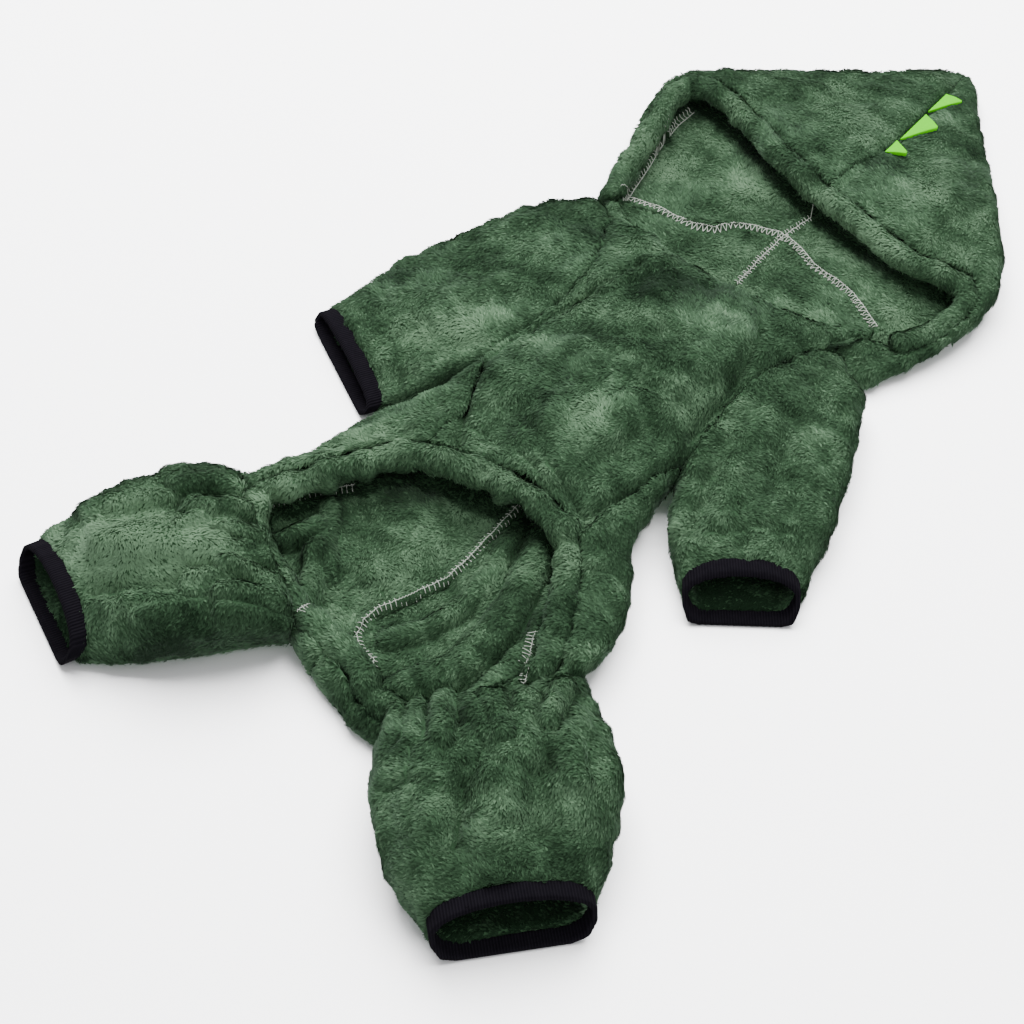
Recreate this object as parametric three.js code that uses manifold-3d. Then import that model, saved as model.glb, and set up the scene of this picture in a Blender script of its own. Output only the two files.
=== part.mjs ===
// A dinosaur dog costume of plush fleece, laid on its back on a table, belly opening upwards.
// Millimetres, +Z up, +Y from the rear of the spine to the hood.
import * as THREE from "three";
import { mergeVertices } from "three/addons/utils/BufferGeometryUtils.js";
import Module from "manifold-3d";

const wasm = await Module();
wasm.setup();

// Driving dimensions of the cloth and its edges
const CLOTH = 3.2;
const SEAM_GAP = 0.3;
const HEM_RADIUS = 6;
const BRIM_RADIUS = 5.8;
const BINDING_WIDTH = 8;
const BINDING_WALL = 2.6;
const SIDE_SEAM_HEIGHT = 8;
const SPIKE_THICKNESS = 2.6;
const TALL = 120;

// How much of a section's underside lies flat: its lower half is stretched by this and cut at the floor
const FLATNESS = 1.7;

// Steps along and around the lofted pieces
const BODY_RINGS = 27;
const BODY_SIDES = 30;
const HOOD_RINGS = 17;
const HOOD_SIDES = 28;
const TUBE_RINGS = 8;
const TUBE_SIDES = 20;
const LEG_SIDES = 36;
const ROLL_SIDES = 8;

const colours = {
  fleece: { color: "#5f9a4e", roughness: 0.95, metalness: 0 },
  inside: { color: "#568f47", roughness: 0.95, metalness: 0 },
  rib: { color: "#17131a", roughness: 0.9, metalness: 0 },
  felt: { color: "#a4c83a", roughness: 0.9, metalness: 0 },
};

// Body, from the rear end to the neck: side folds, height and fullness of the crown
const bodyRows = [
  { y: -194, left: 8, right: 22, height: 9, crown: 0.6 },
  { y: -190, left: -4, right: 30, height: 12, crown: 0.6 },
  { y: -184, left: -23, right: 36, height: 15, crown: 0.6 },
  { y: -172, left: -53, right: 46, height: 19, crown: 0.55 },
  { y: -155, left: -84, right: 58, height: 23, crown: 0.5 },
  { y: -138, left: -112, right: 70, height: 26, crown: 0.5 },
  { y: -122, left: -118, right: 78, height: 27, crown: 0.5 },
  { y: -106, left: -109, right: 80, height: 27, crown: 0.5 },
  { y: -86, left: -100, right: 78, height: 27, crown: 0.55 },
  { y: -66, left: -95, right: 70, height: 29, crown: 0.6 },
  { y: -46, left: -86, right: 56, height: 32, crown: 0.7 },
  { y: -20, left: -73, right: 52, height: 36, crown: 0.85 },
  { y: 8, left: -68, right: 51, height: 39, crown: 1 },
  { y: 40, left: -61, right: 51, height: 41, crown: 1 },
  { y: 75, left: -60, right: 53, height: 38, crown: 0.9 },
  { y: 105, left: -68, right: 62, height: 32, crown: 0.75 },
  { y: 128, left: -80, right: 74, height: 25, crown: 0.6 },
  { y: 146, left: -88, right: 81, height: 19, crown: 0.5 },
  { y: 170, left: -88, right: 81, height: 14, crown: 0.45 },
  { y: 196, left: -80, right: 76, height: 12, crown: 0.45 },
];

// Hood, from the neck to the peak
const hoodRows = [
  { y: 113, left: 78, right: 88, height: 8, crown: 0.5 },
  { y: 124, left: 40, right: 95, height: 11, crown: 0.5 },
  { y: 140, left: -60, right: 103, height: 13, crown: 0.45 },
  { y: 158, left: -96, right: 110, height: 17, crown: 0.4 },
  { y: 180, left: -98, right: 117, height: 21, crown: 0.35 },
  { y: 203, left: -106, right: 117, height: 24, crown: 0.35 },
  { y: 222, left: -110, right: 111, height: 25, crown: 0.35 },
  { y: 241, left: -112, right: 99, height: 25, crown: 0.35 },
  { y: 256, left: -104, right: 89, height: 24, crown: 0.35 },
  { y: 275, left: -82, right: 76, height: 22, crown: 0.4 },
  { y: 300, left: -50, right: 59, height: 19, crown: 0.45 },
  { y: 325, left: -19, right: 41, height: 16, crown: 0.5 },
  { y: 342, left: -2, right: 32, height: 14, crown: 0.6 },
  { y: 351, left: 8, right: 25, height: 10, crown: 0.7 },
];

// Sleeves and legs, from inside the body to the cuff: the near and far side of each flattened section
const tubeRows = {
  sleeve_front_left: [
    { along: 0, nearX: -32, nearY: 18, farX: -42, farY: 122, height: 27, crown: 0.7 },
    { along: 0.14, nearX: -66, nearY: 4, farX: -92, farY: 137, height: 27, crown: 0.6 },
    { along: 0.3, nearX: -75, nearY: -4, farX: -114, farY: 113, height: 26, crown: 0.55 },
    { along: 0.5, nearX: -81, nearY: -16, farX: -130, farY: 82, height: 24, crown: 0.55 },
    { along: 0.7, nearX: -87, nearY: -27, farX: -145, farY: 48, height: 21, crown: 0.55 },
    { along: 0.87, nearX: -94, nearY: -36, farX: -156, farY: 16, height: 16, crown: 0.55 },
    { along: 1, nearX: -99, nearY: -42, farX: -162, farY: -5, height: 12.5, crown: 0.55 },
  ],
  sleeve_front_right: [
    { along: 0, nearX: 26, nearY: 24, farX: 30, farY: 112, height: 27, crown: 0.7 },
    { along: 0.16, nearX: 48, nearY: 8, farX: 84, farY: 113, height: 27, crown: 0.6 },
    { along: 0.34, nearX: 57, nearY: -12, farX: 104, farY: 84, height: 27, crown: 0.55 },
    { along: 0.54, nearX: 66, nearY: -27, farX: 117, farY: 50, height: 26, crown: 0.55 },
    { along: 0.74, nearX: 77, nearY: -41, farX: 128, farY: 15, height: 24, crown: 0.6 },
    { along: 0.9, nearX: 85, nearY: -49, farX: 134, farY: -12, height: 22, crown: 0.7 },
    { along: 1, nearX: 89, nearY: -52, farX: 135, farY: -21, height: 21, crown: 0.8 },
  ],
  leg_hind_left: [
    { along: 0, nearX: -37, nearY: -170, farX: -117, farY: -115, height: 18, crown: 0.6 },
    { along: 0.16, nearX: -46, nearY: -182, farX: -137, farY: -127, height: 30, crown: 0.55 },
    { along: 0.34, nearX: -56, nearY: -194, farX: -147, farY: -147, height: 39, crown: 0.6 },
    { along: 0.55, nearX: -72, nearY: -211, farX: -158, farY: -169, height: 42, crown: 0.65 },
    { along: 0.78, nearX: -93, nearY: -229, farX: -167, farY: -193, height: 37, crown: 0.75 },
    { along: 0.93, nearX: -109, nearY: -239, farX: -173, farY: -207, height: 29, crown: 0.85 },
    { along: 1, nearX: -115, nearY: -241, farX: -175, farY: -211, height: 27, crown: 0.9 },
  ],
  leg_hind_right: [
    { along: 0, nearX: 20, nearY: -185, farX: 74, farY: -112, height: 18, crown: 0.6 },
    { along: 0.16, nearX: 28, nearY: -200, farX: 87, farY: -125, height: 28, crown: 0.55 },
    { along: 0.34, nearX: 38, nearY: -218, farX: 107, farY: -139, height: 39, crown: 0.6 },
    { along: 0.56, nearX: 54, nearY: -236, farX: 125, farY: -156, height: 46, crown: 0.65 },
    { along: 0.78, nearX: 75, nearY: -251, farX: 139, farY: -180, height: 42, crown: 0.75 },
    { along: 0.93, nearX: 92, nearY: -258, farX: 147, farY: -200, height: 35, crown: 0.85 },
    { along: 1, nearX: 98, nearY: -258, farX: 148, farY: -207, height: 32, crown: 0.9 },
  ],
};

// Centre of the rolled elastic hem round the belly opening
const hemRows = [
  { x: 2, y: -55 },
  { x: 24, y: -59 },
  { x: 42, y: -75 },
  { x: 53, y: -98 },
  { x: 63, y: -120 },
  { x: 62, y: -140 },
  { x: 47, y: -160 },
  { x: 30, y: -177 },
  { x: 11, y: -181 },
  { x: -8, y: -172 },
  { x: -28, y: -168 },
  { x: -48, y: -164 },
  { x: -72, y: -153 },
  { x: -94, y: -140 },
  { x: -104, y: -126 },
  { x: -93, y: -108 },
  { x: -78, y: -85 },
  { x: -62, y: -67 },
  { x: -36, y: -59 },
];

// Centre of the rolled brim, from the left end of the neck round the face opening to the right end
const brimRows = [
  { x: -88, y: 148 },
  { x: -91, y: 162 },
  { x: -95, y: 184 },
  { x: -99, y: 212 },
  { x: -103, y: 237 },
  { x: -95, y: 249 },
  { x: -76, y: 246 },
  { x: -54, y: 236 },
  { x: -34, y: 226 },
  { x: -12, y: 218 },
  { x: 10, y: 210 },
  { x: 34, y: 204 },
  { x: 57, y: 197 },
  { x: 78, y: 195 },
  { x: 96, y: 199 },
  { x: 106, y: 195 },
  { x: 107, y: 178 },
  { x: 100, y: 158 },
  { x: 91, y: 145 },
];

// Seam of the back and hood panels, and the two edges of the neck, as places on the flat cloth
const centreSeam = [
  { x: -24, y: -230 },
  { x: -23, y: -145 },
  { x: -6, y: -109 },
  { x: -3, y: -48 },
  { x: -1, y: 136 },
  { x: 0, y: 184 },
  { x: 7, y: 217 },
  { x: 16, y: 245 },
  { x: 19.5, y: 270 },
  { x: 19.6, y: 300 },
  { x: 18.4, y: 380 },
];
const neckSeam = [
  { x: -130, y: 150 },
  { x: -84, y: 155 },
  { x: -52, y: 161 },
  { x: -26, y: 176 },
  { x: 0, y: 183 },
  { x: 24, y: 175 },
  { x: 52, y: 167 },
  { x: 74, y: 153 },
  { x: 76, y: 140 },
  { x: 66, y: 122 },
  { x: 60, y: 60 },
];
const chestNeckEdge = [
  { x: -130, y: 149 },
  { x: -82, y: 145 },
  { x: -62, y: 132 },
  { x: -34, y: 121 },
  { x: 0, y: 115 },
  { x: 34, y: 118 },
  { x: 58, y: 128 },
  { x: 78, y: 142 },
  { x: 130, y: 146 },
];

// Side seams of the chest panel, from the front hem up to the armpit
const chestSide = {
  left: [
    { x: -56, y: -90 },
    { x: -53, y: -62 },
    { x: -52, y: -28 },
    { x: -61, y: -8 },
    { x: -66, y: 4 },
    { x: -120, y: 8 },
  ],
  right: [
    { x: 34, y: -90 },
    { x: 35, y: -62 },
    { x: 43, y: -26 },
    { x: 49, y: 4 },
    { x: 100, y: 8 },
  ],
};

// Largest folds: a soft ridge, or with a rise below nought a trough, along a line
const bodyTopFolds = [
  { fromX: -14, fromY: -40, toX: 8, toY: 22, width: 13, rise: 4 },
  { fromX: -42, fromY: -34, toX: -30, toY: -8, width: 12, rise: -4 },
  { fromX: 20, fromY: -44, toX: 34, toY: 10, width: 10, rise: -3 },
  { fromX: -30, fromY: 104, toX: -34, toY: 40, width: 11, rise: -2.5 },
  { fromX: 12, fromY: 104, toX: 20, toY: 56, width: 10, rise: 2 },
];
const bodyFloorFolds = [
  { fromX: 14, fromY: -74, toX: 30, toY: -140, width: 9, rise: 7 },
  { fromX: 30, fromY: -140, toX: 4, toY: -160, width: 9, rise: 6 },
  { fromX: -84, fromY: -108, toX: -60, toY: -128, width: 8, rise: 6 },
  { fromX: -60, fromY: -128, toX: -66, toY: -148, width: 8, rise: 5 },
  { fromX: -56, fromY: -84, toX: -40, toY: -116, width: 9, rise: 4 },
];
const hoodTopFolds = [
  { fromX: 7, fromY: 214, toX: 16.5, toY: 250, width: 7, rise: -3.5 },
  { fromX: 19.5, fromY: 263, toX: 19, toY: 332, width: 7, rise: -3 },
  { fromX: -70, fromY: 254, toX: -20, toY: 300, width: 12, rise: -2 },
  { fromX: 60, fromY: 216, toX: 40, toY: 290, width: 12, rise: 2 },
];
const tubeFolds = {
  sleeve_front_left: [
    { fromX: -84, fromY: 120, toX: -118, toY: 40, width: 10, rise: -3 },
    { fromX: -98, fromY: 30, toX: -128, toY: -14, width: 9, rise: 2.5 },
  ],
  sleeve_front_right: [
    { fromX: 70, fromY: 92, toX: 92, toY: 20, width: 9, rise: -3 },
    { fromX: 62, fromY: 0, toX: 84, toY: -30, width: 8, rise: -4 },
  ],
  leg_hind_left: [
    { fromX: -70, fromY: -176, toX: -128, toY: -222, width: 9, rise: -5 },
    { fromX: -112, fromY: -146, toX: -140, toY: -186, width: 10, rise: -3 },
  ],
  leg_hind_right: [
    { fromX: 58, fromY: -180, toX: 98, toY: -238, width: 9, rise: -5 },
    { fromX: 88, fromY: -150, toX: 122, toY: -204, width: 10, rise: -3 },
  ],
};

// Gathers at the root of each leg, deepest just off the body and dying out towards the cuff
const GATHER_DEPTH = 4.4;
const GATHER_AT = 0.2;
const GATHER_REACH = 0.16;

// Felt spikes in the crown seam of the hood, lying over to the right: the two ends of the base and the tip
const spikeRows = [
  { name: "spike_lower", fromY: 254.5, toY: 269, tipY: 259, reach: 11 },
  { name: "spike_middle", fromY: 270.5, toY: 301, tipY: 289.5, reach: 12.5 },
  { name: "spike_upper", fromY: 304, toY: 326, tipY: 323, reach: 11 },
];
const SPIKE_OFF_SEAM = 1;
const SPIKE_TIP = 0.8;
const SPIKE_STEPS = 5;

// A table's column at a place, on a smooth curve through its rows
function column(rows, key, name, place) {
  let i = 0;
  while (i < rows.length - 2 && place > rows[i + 1][key]) i += 1;
  const a = rows[i];
  const b = rows[i + 1];
  const before = rows[Math.max(i - 1, 0)];
  const after = rows[Math.min(i + 2, rows.length - 1)];
  const span = b[key] - a[key];
  const t = Math.min(Math.max((place - a[key]) / span, 0), 1);
  const rise = (span * (b[name] - before[name])) / (b[key] - before[key]);
  const fall = (span * (after[name] - a[name])) / (after[key] - a[key]);
  const t2 = t * t;
  const t3 = t2 * t;
  return (
    a[name] * (2 * t3 - 3 * t2 + 1) + rise * (t3 - 2 * t2 + t) + b[name] * (3 * t2 - 2 * t3) + fall * (t3 - t2)
  );
}

// Height that the folds of a piece add at a place
function foldRise(folds, x, y) {
  let sum = 0;
  for (const fold of folds) {
    const dx = fold.toX - fold.fromX;
    const dy = fold.toY - fold.fromY;
    const t = ((x - fold.fromX) * dx + (y - fold.fromY) * dy) / (dx * dx + dy * dy);
    const nearest = Math.min(Math.max(t, 0), 1);
    const distance = Math.hypot(x - fold.fromX - nearest * dx, y - fold.fromY - nearest * dy);
    sum += fold.rise * Math.exp(-((distance / fold.width) ** 2));
  }
  return sum;
}

// One flattened section of a piece on the floor, as points round it; grow moves its wall out or in
function section(place, sides, grow, folds, floorFolds = [], gather = 0) {
  const { nearX, nearY, farX, farY, height, crown } = place;
  const width = Math.hypot(farX - nearX, farY - nearY);
  const ring = [];
  for (let i = 0; i < sides; i += 1) {
    const angle = (2 * Math.PI * (i + 0.5)) / sides;
    const across = Math.cos(angle);
    const up = Math.sin(angle);
    const u = 0.5 + (0.5 + grow / width) * across;
    const x = nearX + (farX - nearX) * u;
    const y = nearY + (farY - nearY) * u;
    const half = height / 2 + grow;
    let z = 0;
    if (up > 0) {
      z = height / 2 + half * up ** crown + up * foldRise(folds, x, y);
      z += up * (i % 2) * gather;
    } else {
      z = height / 2 + half * Math.max(-1, FLATNESS * up);
      z -= up * foldRise(floorFolds, x, y);
    }
    ring.push(new THREE.Vector3(x, y, z));
  }
  return ring;
}

// Sections of the body or the hood, which run along Y
function pillow(rows, rings, sides, grow, folds, floorFolds = []) {
  const first = rows[0].y;
  const last = rows[rows.length - 1].y;
  const list = [];
  for (let i = 0; i <= rings; i += 1) {
    const y = first + ((last - first) * i) / rings;
    const reach = y + grow * (2 * (i / rings) - 1);
    const place = {
      nearX: column(rows, "y", "left", y),
      farX: column(rows, "y", "right", y),
      nearY: reach,
      farY: reach,
      height: column(rows, "y", "height", y),
      crown: column(rows, "y", "crown", y),
    };
    list.push(section(place, sides, grow, folds, floorFolds));
  }
  return list;
}

// Height of the top of the body or the hood at a place
function topHeight(rows, folds, x, y) {
  const left = column(rows, "y", "left", y);
  const right = column(rows, "y", "right", y);
  const across = Math.min(Math.abs((2 * x - left - right) / (right - left)), 1);
  const up = Math.sqrt(1 - across * across);
  const height = column(rows, "y", "height", y);
  return height / 2 + (height / 2) * up ** column(rows, "y", "crown", y) + up * foldRise(folds, x, y);
}

// A place between the rows of a sleeve or leg
function tubePlace(rows, along) {
  const place = {};
  for (const name of ["nearX", "nearY", "farX", "farY", "height", "crown"]) {
    place[name] = column(rows, "along", name, along);
  }
  return place;
}

// Sections of a sleeve or leg between two places along it
function tube(name, from, to, rings, sides, grow, gathered = 0) {
  const list = [];
  for (let i = 0; i <= rings; i += 1) {
    const along = from + ((to - from) * i) / rings;
    const gather = gathered * Math.exp(-(((along - GATHER_AT) / GATHER_REACH) ** 2));
    list.push(section(tubePlace(tubeRows[name], along), sides, grow, tubeFolds[name], [], gather));
  }
  return list;
}

// A place moved on past the cuff, for what lies beyond the end of a sleeve or leg
function pastCuff(name, distance) {
  const rows = tubeRows[name];
  const end = tubePlace(rows, 1);
  const dx = end.farX - end.nearX;
  const dy = end.farY - end.nearY;
  const width = Math.hypot(dx, dy);
  const before = tubePlace(rows, 0.9);
  const side = Math.sign(-dy * (end.nearX - before.nearX) + dx * (end.nearY - before.nearY));
  const outX = (-dy / width) * side * distance;
  const outY = (dx / width) * side * distance;
  return {
    ...end,
    nearX: end.nearX + outX,
    nearY: end.nearY + outY,
    farX: end.farX + outX,
    farY: end.farY + outY,
  };
}

// A closed body through rings of equal size; a round one joins its last ring to its first
function loft(rings, round = false) {
  const sides = rings[0].length;
  const points = rings.flat();
  const faces = [];
  const joins = round ? rings.length : rings.length - 1;
  for (let r = 0; r < joins; r += 1) {
    for (let s = 0; s < sides; s += 1) {
      const a = r * sides + s;
      const b = r * sides + ((s + 1) % sides);
      const c = ((r + 1) % rings.length) * sides + ((s + 1) % sides);
      const d = ((r + 1) % rings.length) * sides + s;
      faces.push([a, b, c], [a, c, d]);
    }
  }
  if (!round) {
    for (const [start, flip] of [
      [0, true],
      [(rings.length - 1) * sides, false],
    ]) {
      const middle = new THREE.Vector3();
      for (let s = 0; s < sides; s += 1) middle.add(points[start + s]);
      points.push(middle.divideScalar(sides));
      for (let s = 0; s < sides; s += 1) {
        const a = start + s;
        const b = start + ((s + 1) % sides);
        faces.push(flip ? [points.length - 1, b, a] : [points.length - 1, a, b]);
      }
    }
  }
  return solid(points, faces);
}

// A solid from points and faces, turned so that its faces point out
function solid(points, faces) {
  let volume = 0;
  for (const [a, b, c] of faces) volume += points[a].dot(points[b].clone().cross(points[c]));
  const outward = volume > 0 ? faces : faces.map(([a, b, c]) => [a, c, b]);
  const mesh = new wasm.Mesh({
    numProp: 3,
    vertProperties: new Float32Array(points.flatMap((p) => [p.x, p.y, p.z])),
    triVerts: new Uint32Array(outward.flat()),
  });
  return new wasm.Manifold(mesh);
}

// An upright prism over an outline on the floor, to cut pieces with
function prism(outline, bottom = -TALL, top = TALL) {
  const shape = new THREE.Shape(outline.map((p) => new THREE.Vector2(p.x, p.y)));
  const geometry = new THREE.ExtrudeGeometry(shape, { depth: top - bottom, bevelEnabled: false });
  geometry.translate(0, 0, bottom);
  geometry.deleteAttribute("normal");
  geometry.deleteAttribute("uv");
  const merged = mergeVertices(geometry, 1e-5);
  const place = merged.attributes.position;
  const points = [];
  for (let i = 0; i < place.count; i += 1) points.push(new THREE.Vector3().fromBufferAttribute(place, i));
  const faces = [];
  for (let i = 0; i < merged.index.count; i += 3) {
    faces.push([merged.index.getX(i), merged.index.getX(i + 1), merged.index.getX(i + 2)]);
  }
  return solid(points, faces);
}

// An outline moved sideways by a distance, to the left of its own direction
function beside(line, distance, round = false) {
  return line.map((p, i) => {
    const last = line.length - 1;
    const a = line[i === 0 ? (round ? last : 0) : i - 1];
    const b = line[i === last ? (round ? 0 : last) : i + 1];
    const length = Math.hypot(b.x - a.x, b.y - a.y);
    return { x: p.x - ((b.y - a.y) / length) * distance, y: p.y + ((b.x - a.x) / length) * distance };
  });
}

// Even places along a smooth curve through the rows of a table
function smoothLine(rows, steps, round = false) {
  const points = rows.map((row) => new THREE.Vector3(row.x, row.y, 0));
  const curve = new THREE.CatmullRomCurve3(points, round, "centripetal");
  const line = curve.getSpacedPoints(steps);
  if (round) line.pop();
  return line.map((p) => ({ x: p.x, y: p.y }));
}

// A roll of folded cloth along a line, whose middle follows a height
function roll(line, radius, heightAt, round = false, gather = 0) {
  const rings = line.map((p, i) => {
    const last = line.length - 1;
    const a = line[i === 0 ? (round ? last : 0) : i - 1];
    const b = line[i === last ? (round ? 0 : last) : i + 1];
    const length = Math.hypot(b.x - a.x, b.y - a.y);
    const size = radius + (i % 2 ? gather : -gather);
    const middle = heightAt(p);
    const ring = [];
    for (let s = 0; s < ROLL_SIDES; s += 1) {
      const angle = (2 * Math.PI * (s + 0.5)) / ROLL_SIDES;
      const out = size * Math.cos(angle);
      ring.push(
        new THREE.Vector3(
          p.x + ((b.y - a.y) / length) * out,
          p.y - ((b.x - a.x) / length) * out,
          middle + size * Math.sin(angle),
        ),
      );
    }
    return ring;
  });
  return loft(rings, round);
}

// Outer form of the body and the hood, moved out or in
const bodyForm = (grow) =>
  loft(pillow(bodyRows, BODY_RINGS, BODY_SIDES, grow, bodyTopFolds, grow < 0 ? bodyFloorFolds : []));
const hoodForm = (grow) => loft(pillow(hoodRows, HOOD_RINGS, HOOD_SIDES, grow, hoodTopFolds));

// A knife over the wearer's left or right of the centre seam, clear of the seam itself
function sideOfSeam(side) {
  const edge = beside(centreSeam, (side * SEAM_GAP) / 2);
  const far = -side * 300;
  return prism([...edge, { x: far, y: edge[edge.length - 1].y }, { x: far, y: edge[0].y }]);
}

// Knives over what lies towards the hood from the two edges of the neck
function beyond(line, distance) {
  const edge = beside(line, distance);
  return prism([...edge, { x: 400, y: edge[edge.length - 1].y }, { x: 400, y: 500 }, { x: -400, y: 500 }]);
}

// Belly opening: its hem, and the knife that cuts the cloth back to the outside of the hem
const HEM_STEPS = 48;
const HEM_GATHER = 0.5;
const hemLine = smoothLine(hemRows, HEM_STEPS, true);
const hemMiddle = (p) => Math.max(topHeight(bodyRows, bodyTopFolds, p.x, p.y) - HEM_RADIUS, HEM_RADIUS + 0.2);
const openingKnife = prism(beside(hemLine, HEM_RADIUS + SEAM_GAP, true), SIDE_SEAM_HEIGHT - 3, TALL);

const hemForm = (grow) => roll(hemLine, HEM_RADIUS + grow, hemMiddle, true, HEM_GATHER);

// Brim: its roll, and the knife that opens the face of the hood
const BRIM_STEPS = 30;
const brimLine = smoothLine(brimRows, BRIM_STEPS);
const BRIM_LOWEST = BRIM_RADIUS + CLOTH + 0.5;
const brimMiddle = (p) => Math.max(topHeight(hoodRows, hoodTopFolds, p.x, p.y) - BRIM_RADIUS, BRIM_LOWEST);
const brimForm = (grow) => roll(brimLine, BRIM_RADIUS + grow, brimMiddle);
const faceKnife = prism(
  [...beside(brimLine, BRIM_RADIUS + SEAM_GAP), { x: 70, y: 138 }, { x: 60, y: 60 }, { x: -60, y: 60 }],
  CLOTH,
  TALL,
);

// Hollow of each sleeve and leg, which also cuts its hole in the body
function hollow(name, to) {
  return loft(tube(name, 0, to, TUBE_RINGS, TUBE_SIDES, -CLOTH));
}

// Share of a limb whose hollow cuts the body, and the far corner of the knife round the chest panel
const HOLE_REACH = 0.3;
const CHEST_KNIFE = { x: 160, y: 240 };

const nodes = {};

// Body panels, with the armholes, leg holes and belly opening cut
function makeBody() {
  let shell = bodyForm(0).subtract(bodyForm(-CLOTH)).subtract(openingKnife);
  for (const name of Object.keys(tubeRows)) shell = shell.subtract(hollow(name, HOLE_REACH));
  const chestZone = (inset) => {
    const left = beside(chestSide.left, -inset).reverse();
    const right = beside(chestSide.right, inset);
    const far = [CHEST_KNIFE, { x: -CHEST_KNIFE.x, y: CHEST_KNIFE.y }];
    return prism([...right, ...far, ...left], SIDE_SEAM_HEIGHT + inset, TALL);
  };
  const back = shell.subtract(chestZone(-SEAM_GAP / 2)).subtract(beyond(neckSeam, 0));
  const chest = shell.intersect(chestZone(SEAM_GAP / 2)).subtract(beyond(neckSeam, 0));
  nodes.chest_panel = chest.subtract(beyond(chestNeckEdge, 0));
  nodes.back_left = back.intersect(sideOfSeam(1));
  nodes.back_right = back.intersect(sideOfSeam(-1));
  nodes.belly_hem = hemForm(0);
}

// Hood panels: the lower one on the table and the upper one folded back over it, in one piece a side
function makeHood() {
  const neckCut = prism([...beside(neckSeam, SEAM_GAP), { x: 60, y: 0 }, { x: -130, y: 0 }]);
  const shell = hoodForm(0).subtract(hoodForm(-CLOTH)).subtract(faceKnife).subtract(neckCut);
  const body = bodyForm(SEAM_GAP).subtract(beyond(neckSeam, 0));
  const free = shell.subtract(body);
  nodes.hood_left = free.intersect(sideOfSeam(1));
  nodes.hood_right = free.intersect(sideOfSeam(-1));
  nodes.hood_brim = brimForm(0).subtract(body);
}

// Sleeves and legs, each trimmed where it meets the body, and their bindings
function makeTubes() {
  const body = bodyForm(SEAM_GAP);
  const hood = hoodForm(SEAM_GAP).add(brimForm(SEAM_GAP));
  for (const name of Object.keys(tubeRows)) {
    const isLeg = name.startsWith("leg");
    const outside = tube(name, 0, 1, TUBE_RINGS, isLeg ? LEG_SIDES : TUBE_SIDES, 0, isLeg ? GATHER_DEPTH : 0);
    const inside = tube(name, 0, 1, TUBE_RINGS, TUBE_SIDES, -CLOTH);
    inside[TUBE_RINGS] = section(pastCuff(name, 1), TUBE_SIDES, -CLOTH, tubeFolds[name]);
    nodes[name] = loft(outside).subtract(loft(inside)).subtract(body).subtract(hood).subtract(hemForm(SEAM_GAP));
    const rings = (grow, from, to) => [
      section(pastCuff(name, from), TUBE_SIDES, grow, []),
      section(pastCuff(name, to), TUBE_SIDES, grow, []),
    ];
    const band = loft(rings(0, SEAM_GAP, SEAM_GAP + BINDING_WIDTH));
    nodes[`binding_${name}`] = band.subtract(loft(rings(-BINDING_WALL, 0, BINDING_WIDTH + 1)));
  }
}

// Felt spikes, made from the points of the hood under them, moved out
function makeSpikes() {
  const hood = hoodForm(SEAM_GAP);
  for (const { name, fromY, toY, tipY, reach } of spikeRows) {
    const baseX = column(centreSeam, "y", "x", (fromY + toY) / 2) + SPIKE_OFF_SEAM;
    const rings = Array.from({ length: SPIKE_STEPS + 1 }, (unused, i) => {
      const t = i / SPIKE_STEPS;
      const x = baseX + reach * t;
      const low = fromY + (tipY - SPIKE_TIP - fromY) * t;
      const high = toY + (tipY + SPIKE_TIP - toY) * t;
      const under = [low, (low + high) / 2, high].map(
        (y) => new THREE.Vector3(x, y, topHeight(hoodRows, hoodTopFolds, x, y)),
      );
      const over = under.map((p) => new THREE.Vector3(p.x, p.y, p.z + SPIKE_THICKNESS)).reverse();
      return [...under, ...over];
    });
    nodes[name] = loft(rings).subtract(hood);
  }
}

// A mesh from a solid, with the finish of its kind
function meshOf(name, body) {
  const { vertProperties, triVerts } = body.getMesh();
  const geometry = new THREE.BufferGeometry();
  geometry.setAttribute("position", new THREE.BufferAttribute(new Float32Array(vertProperties), 3));
  geometry.setIndex(new THREE.BufferAttribute(new Uint32Array(triVerts), 1));
  geometry.computeVertexNormals();
  let finish = colours.fleece;
  if (name.startsWith("binding")) finish = colours.rib;
  if (name.startsWith("spike")) finish = colours.felt;
  if (name.startsWith("back")) finish = colours.inside;
  const mesh = new THREE.Mesh(geometry, new THREE.MeshStandardMaterial(finish));
  mesh.name = name;
  return mesh;
}

makeBody();
makeHood();
makeTubes();
makeSpikes();

const costume = new THREE.Group();
for (const [name, body] of Object.entries(nodes)) costume.add(meshOf(name, body));

// The group is moved so that the bottom centre of its box is the origin
const box = new THREE.Box3().setFromObject(costume);
costume.position.set(-(box.min.x + box.max.x) / 2, -(box.min.y + box.max.y) / 2, -box.min.z);
costume.updateMatrixWorld(true);

export default costume;
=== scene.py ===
"""A dinosaur dog costume of plush fleece on its back on a pale table, dressed over the frame's CAD pieces."""

import logging
import math
from collections.abc import Sequence
from dataclasses import dataclass, field
from enum import Enum

import bmesh
import bpy
import numpy as np
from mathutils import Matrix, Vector
from mathutils.bvhtree import BVHTree

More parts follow.
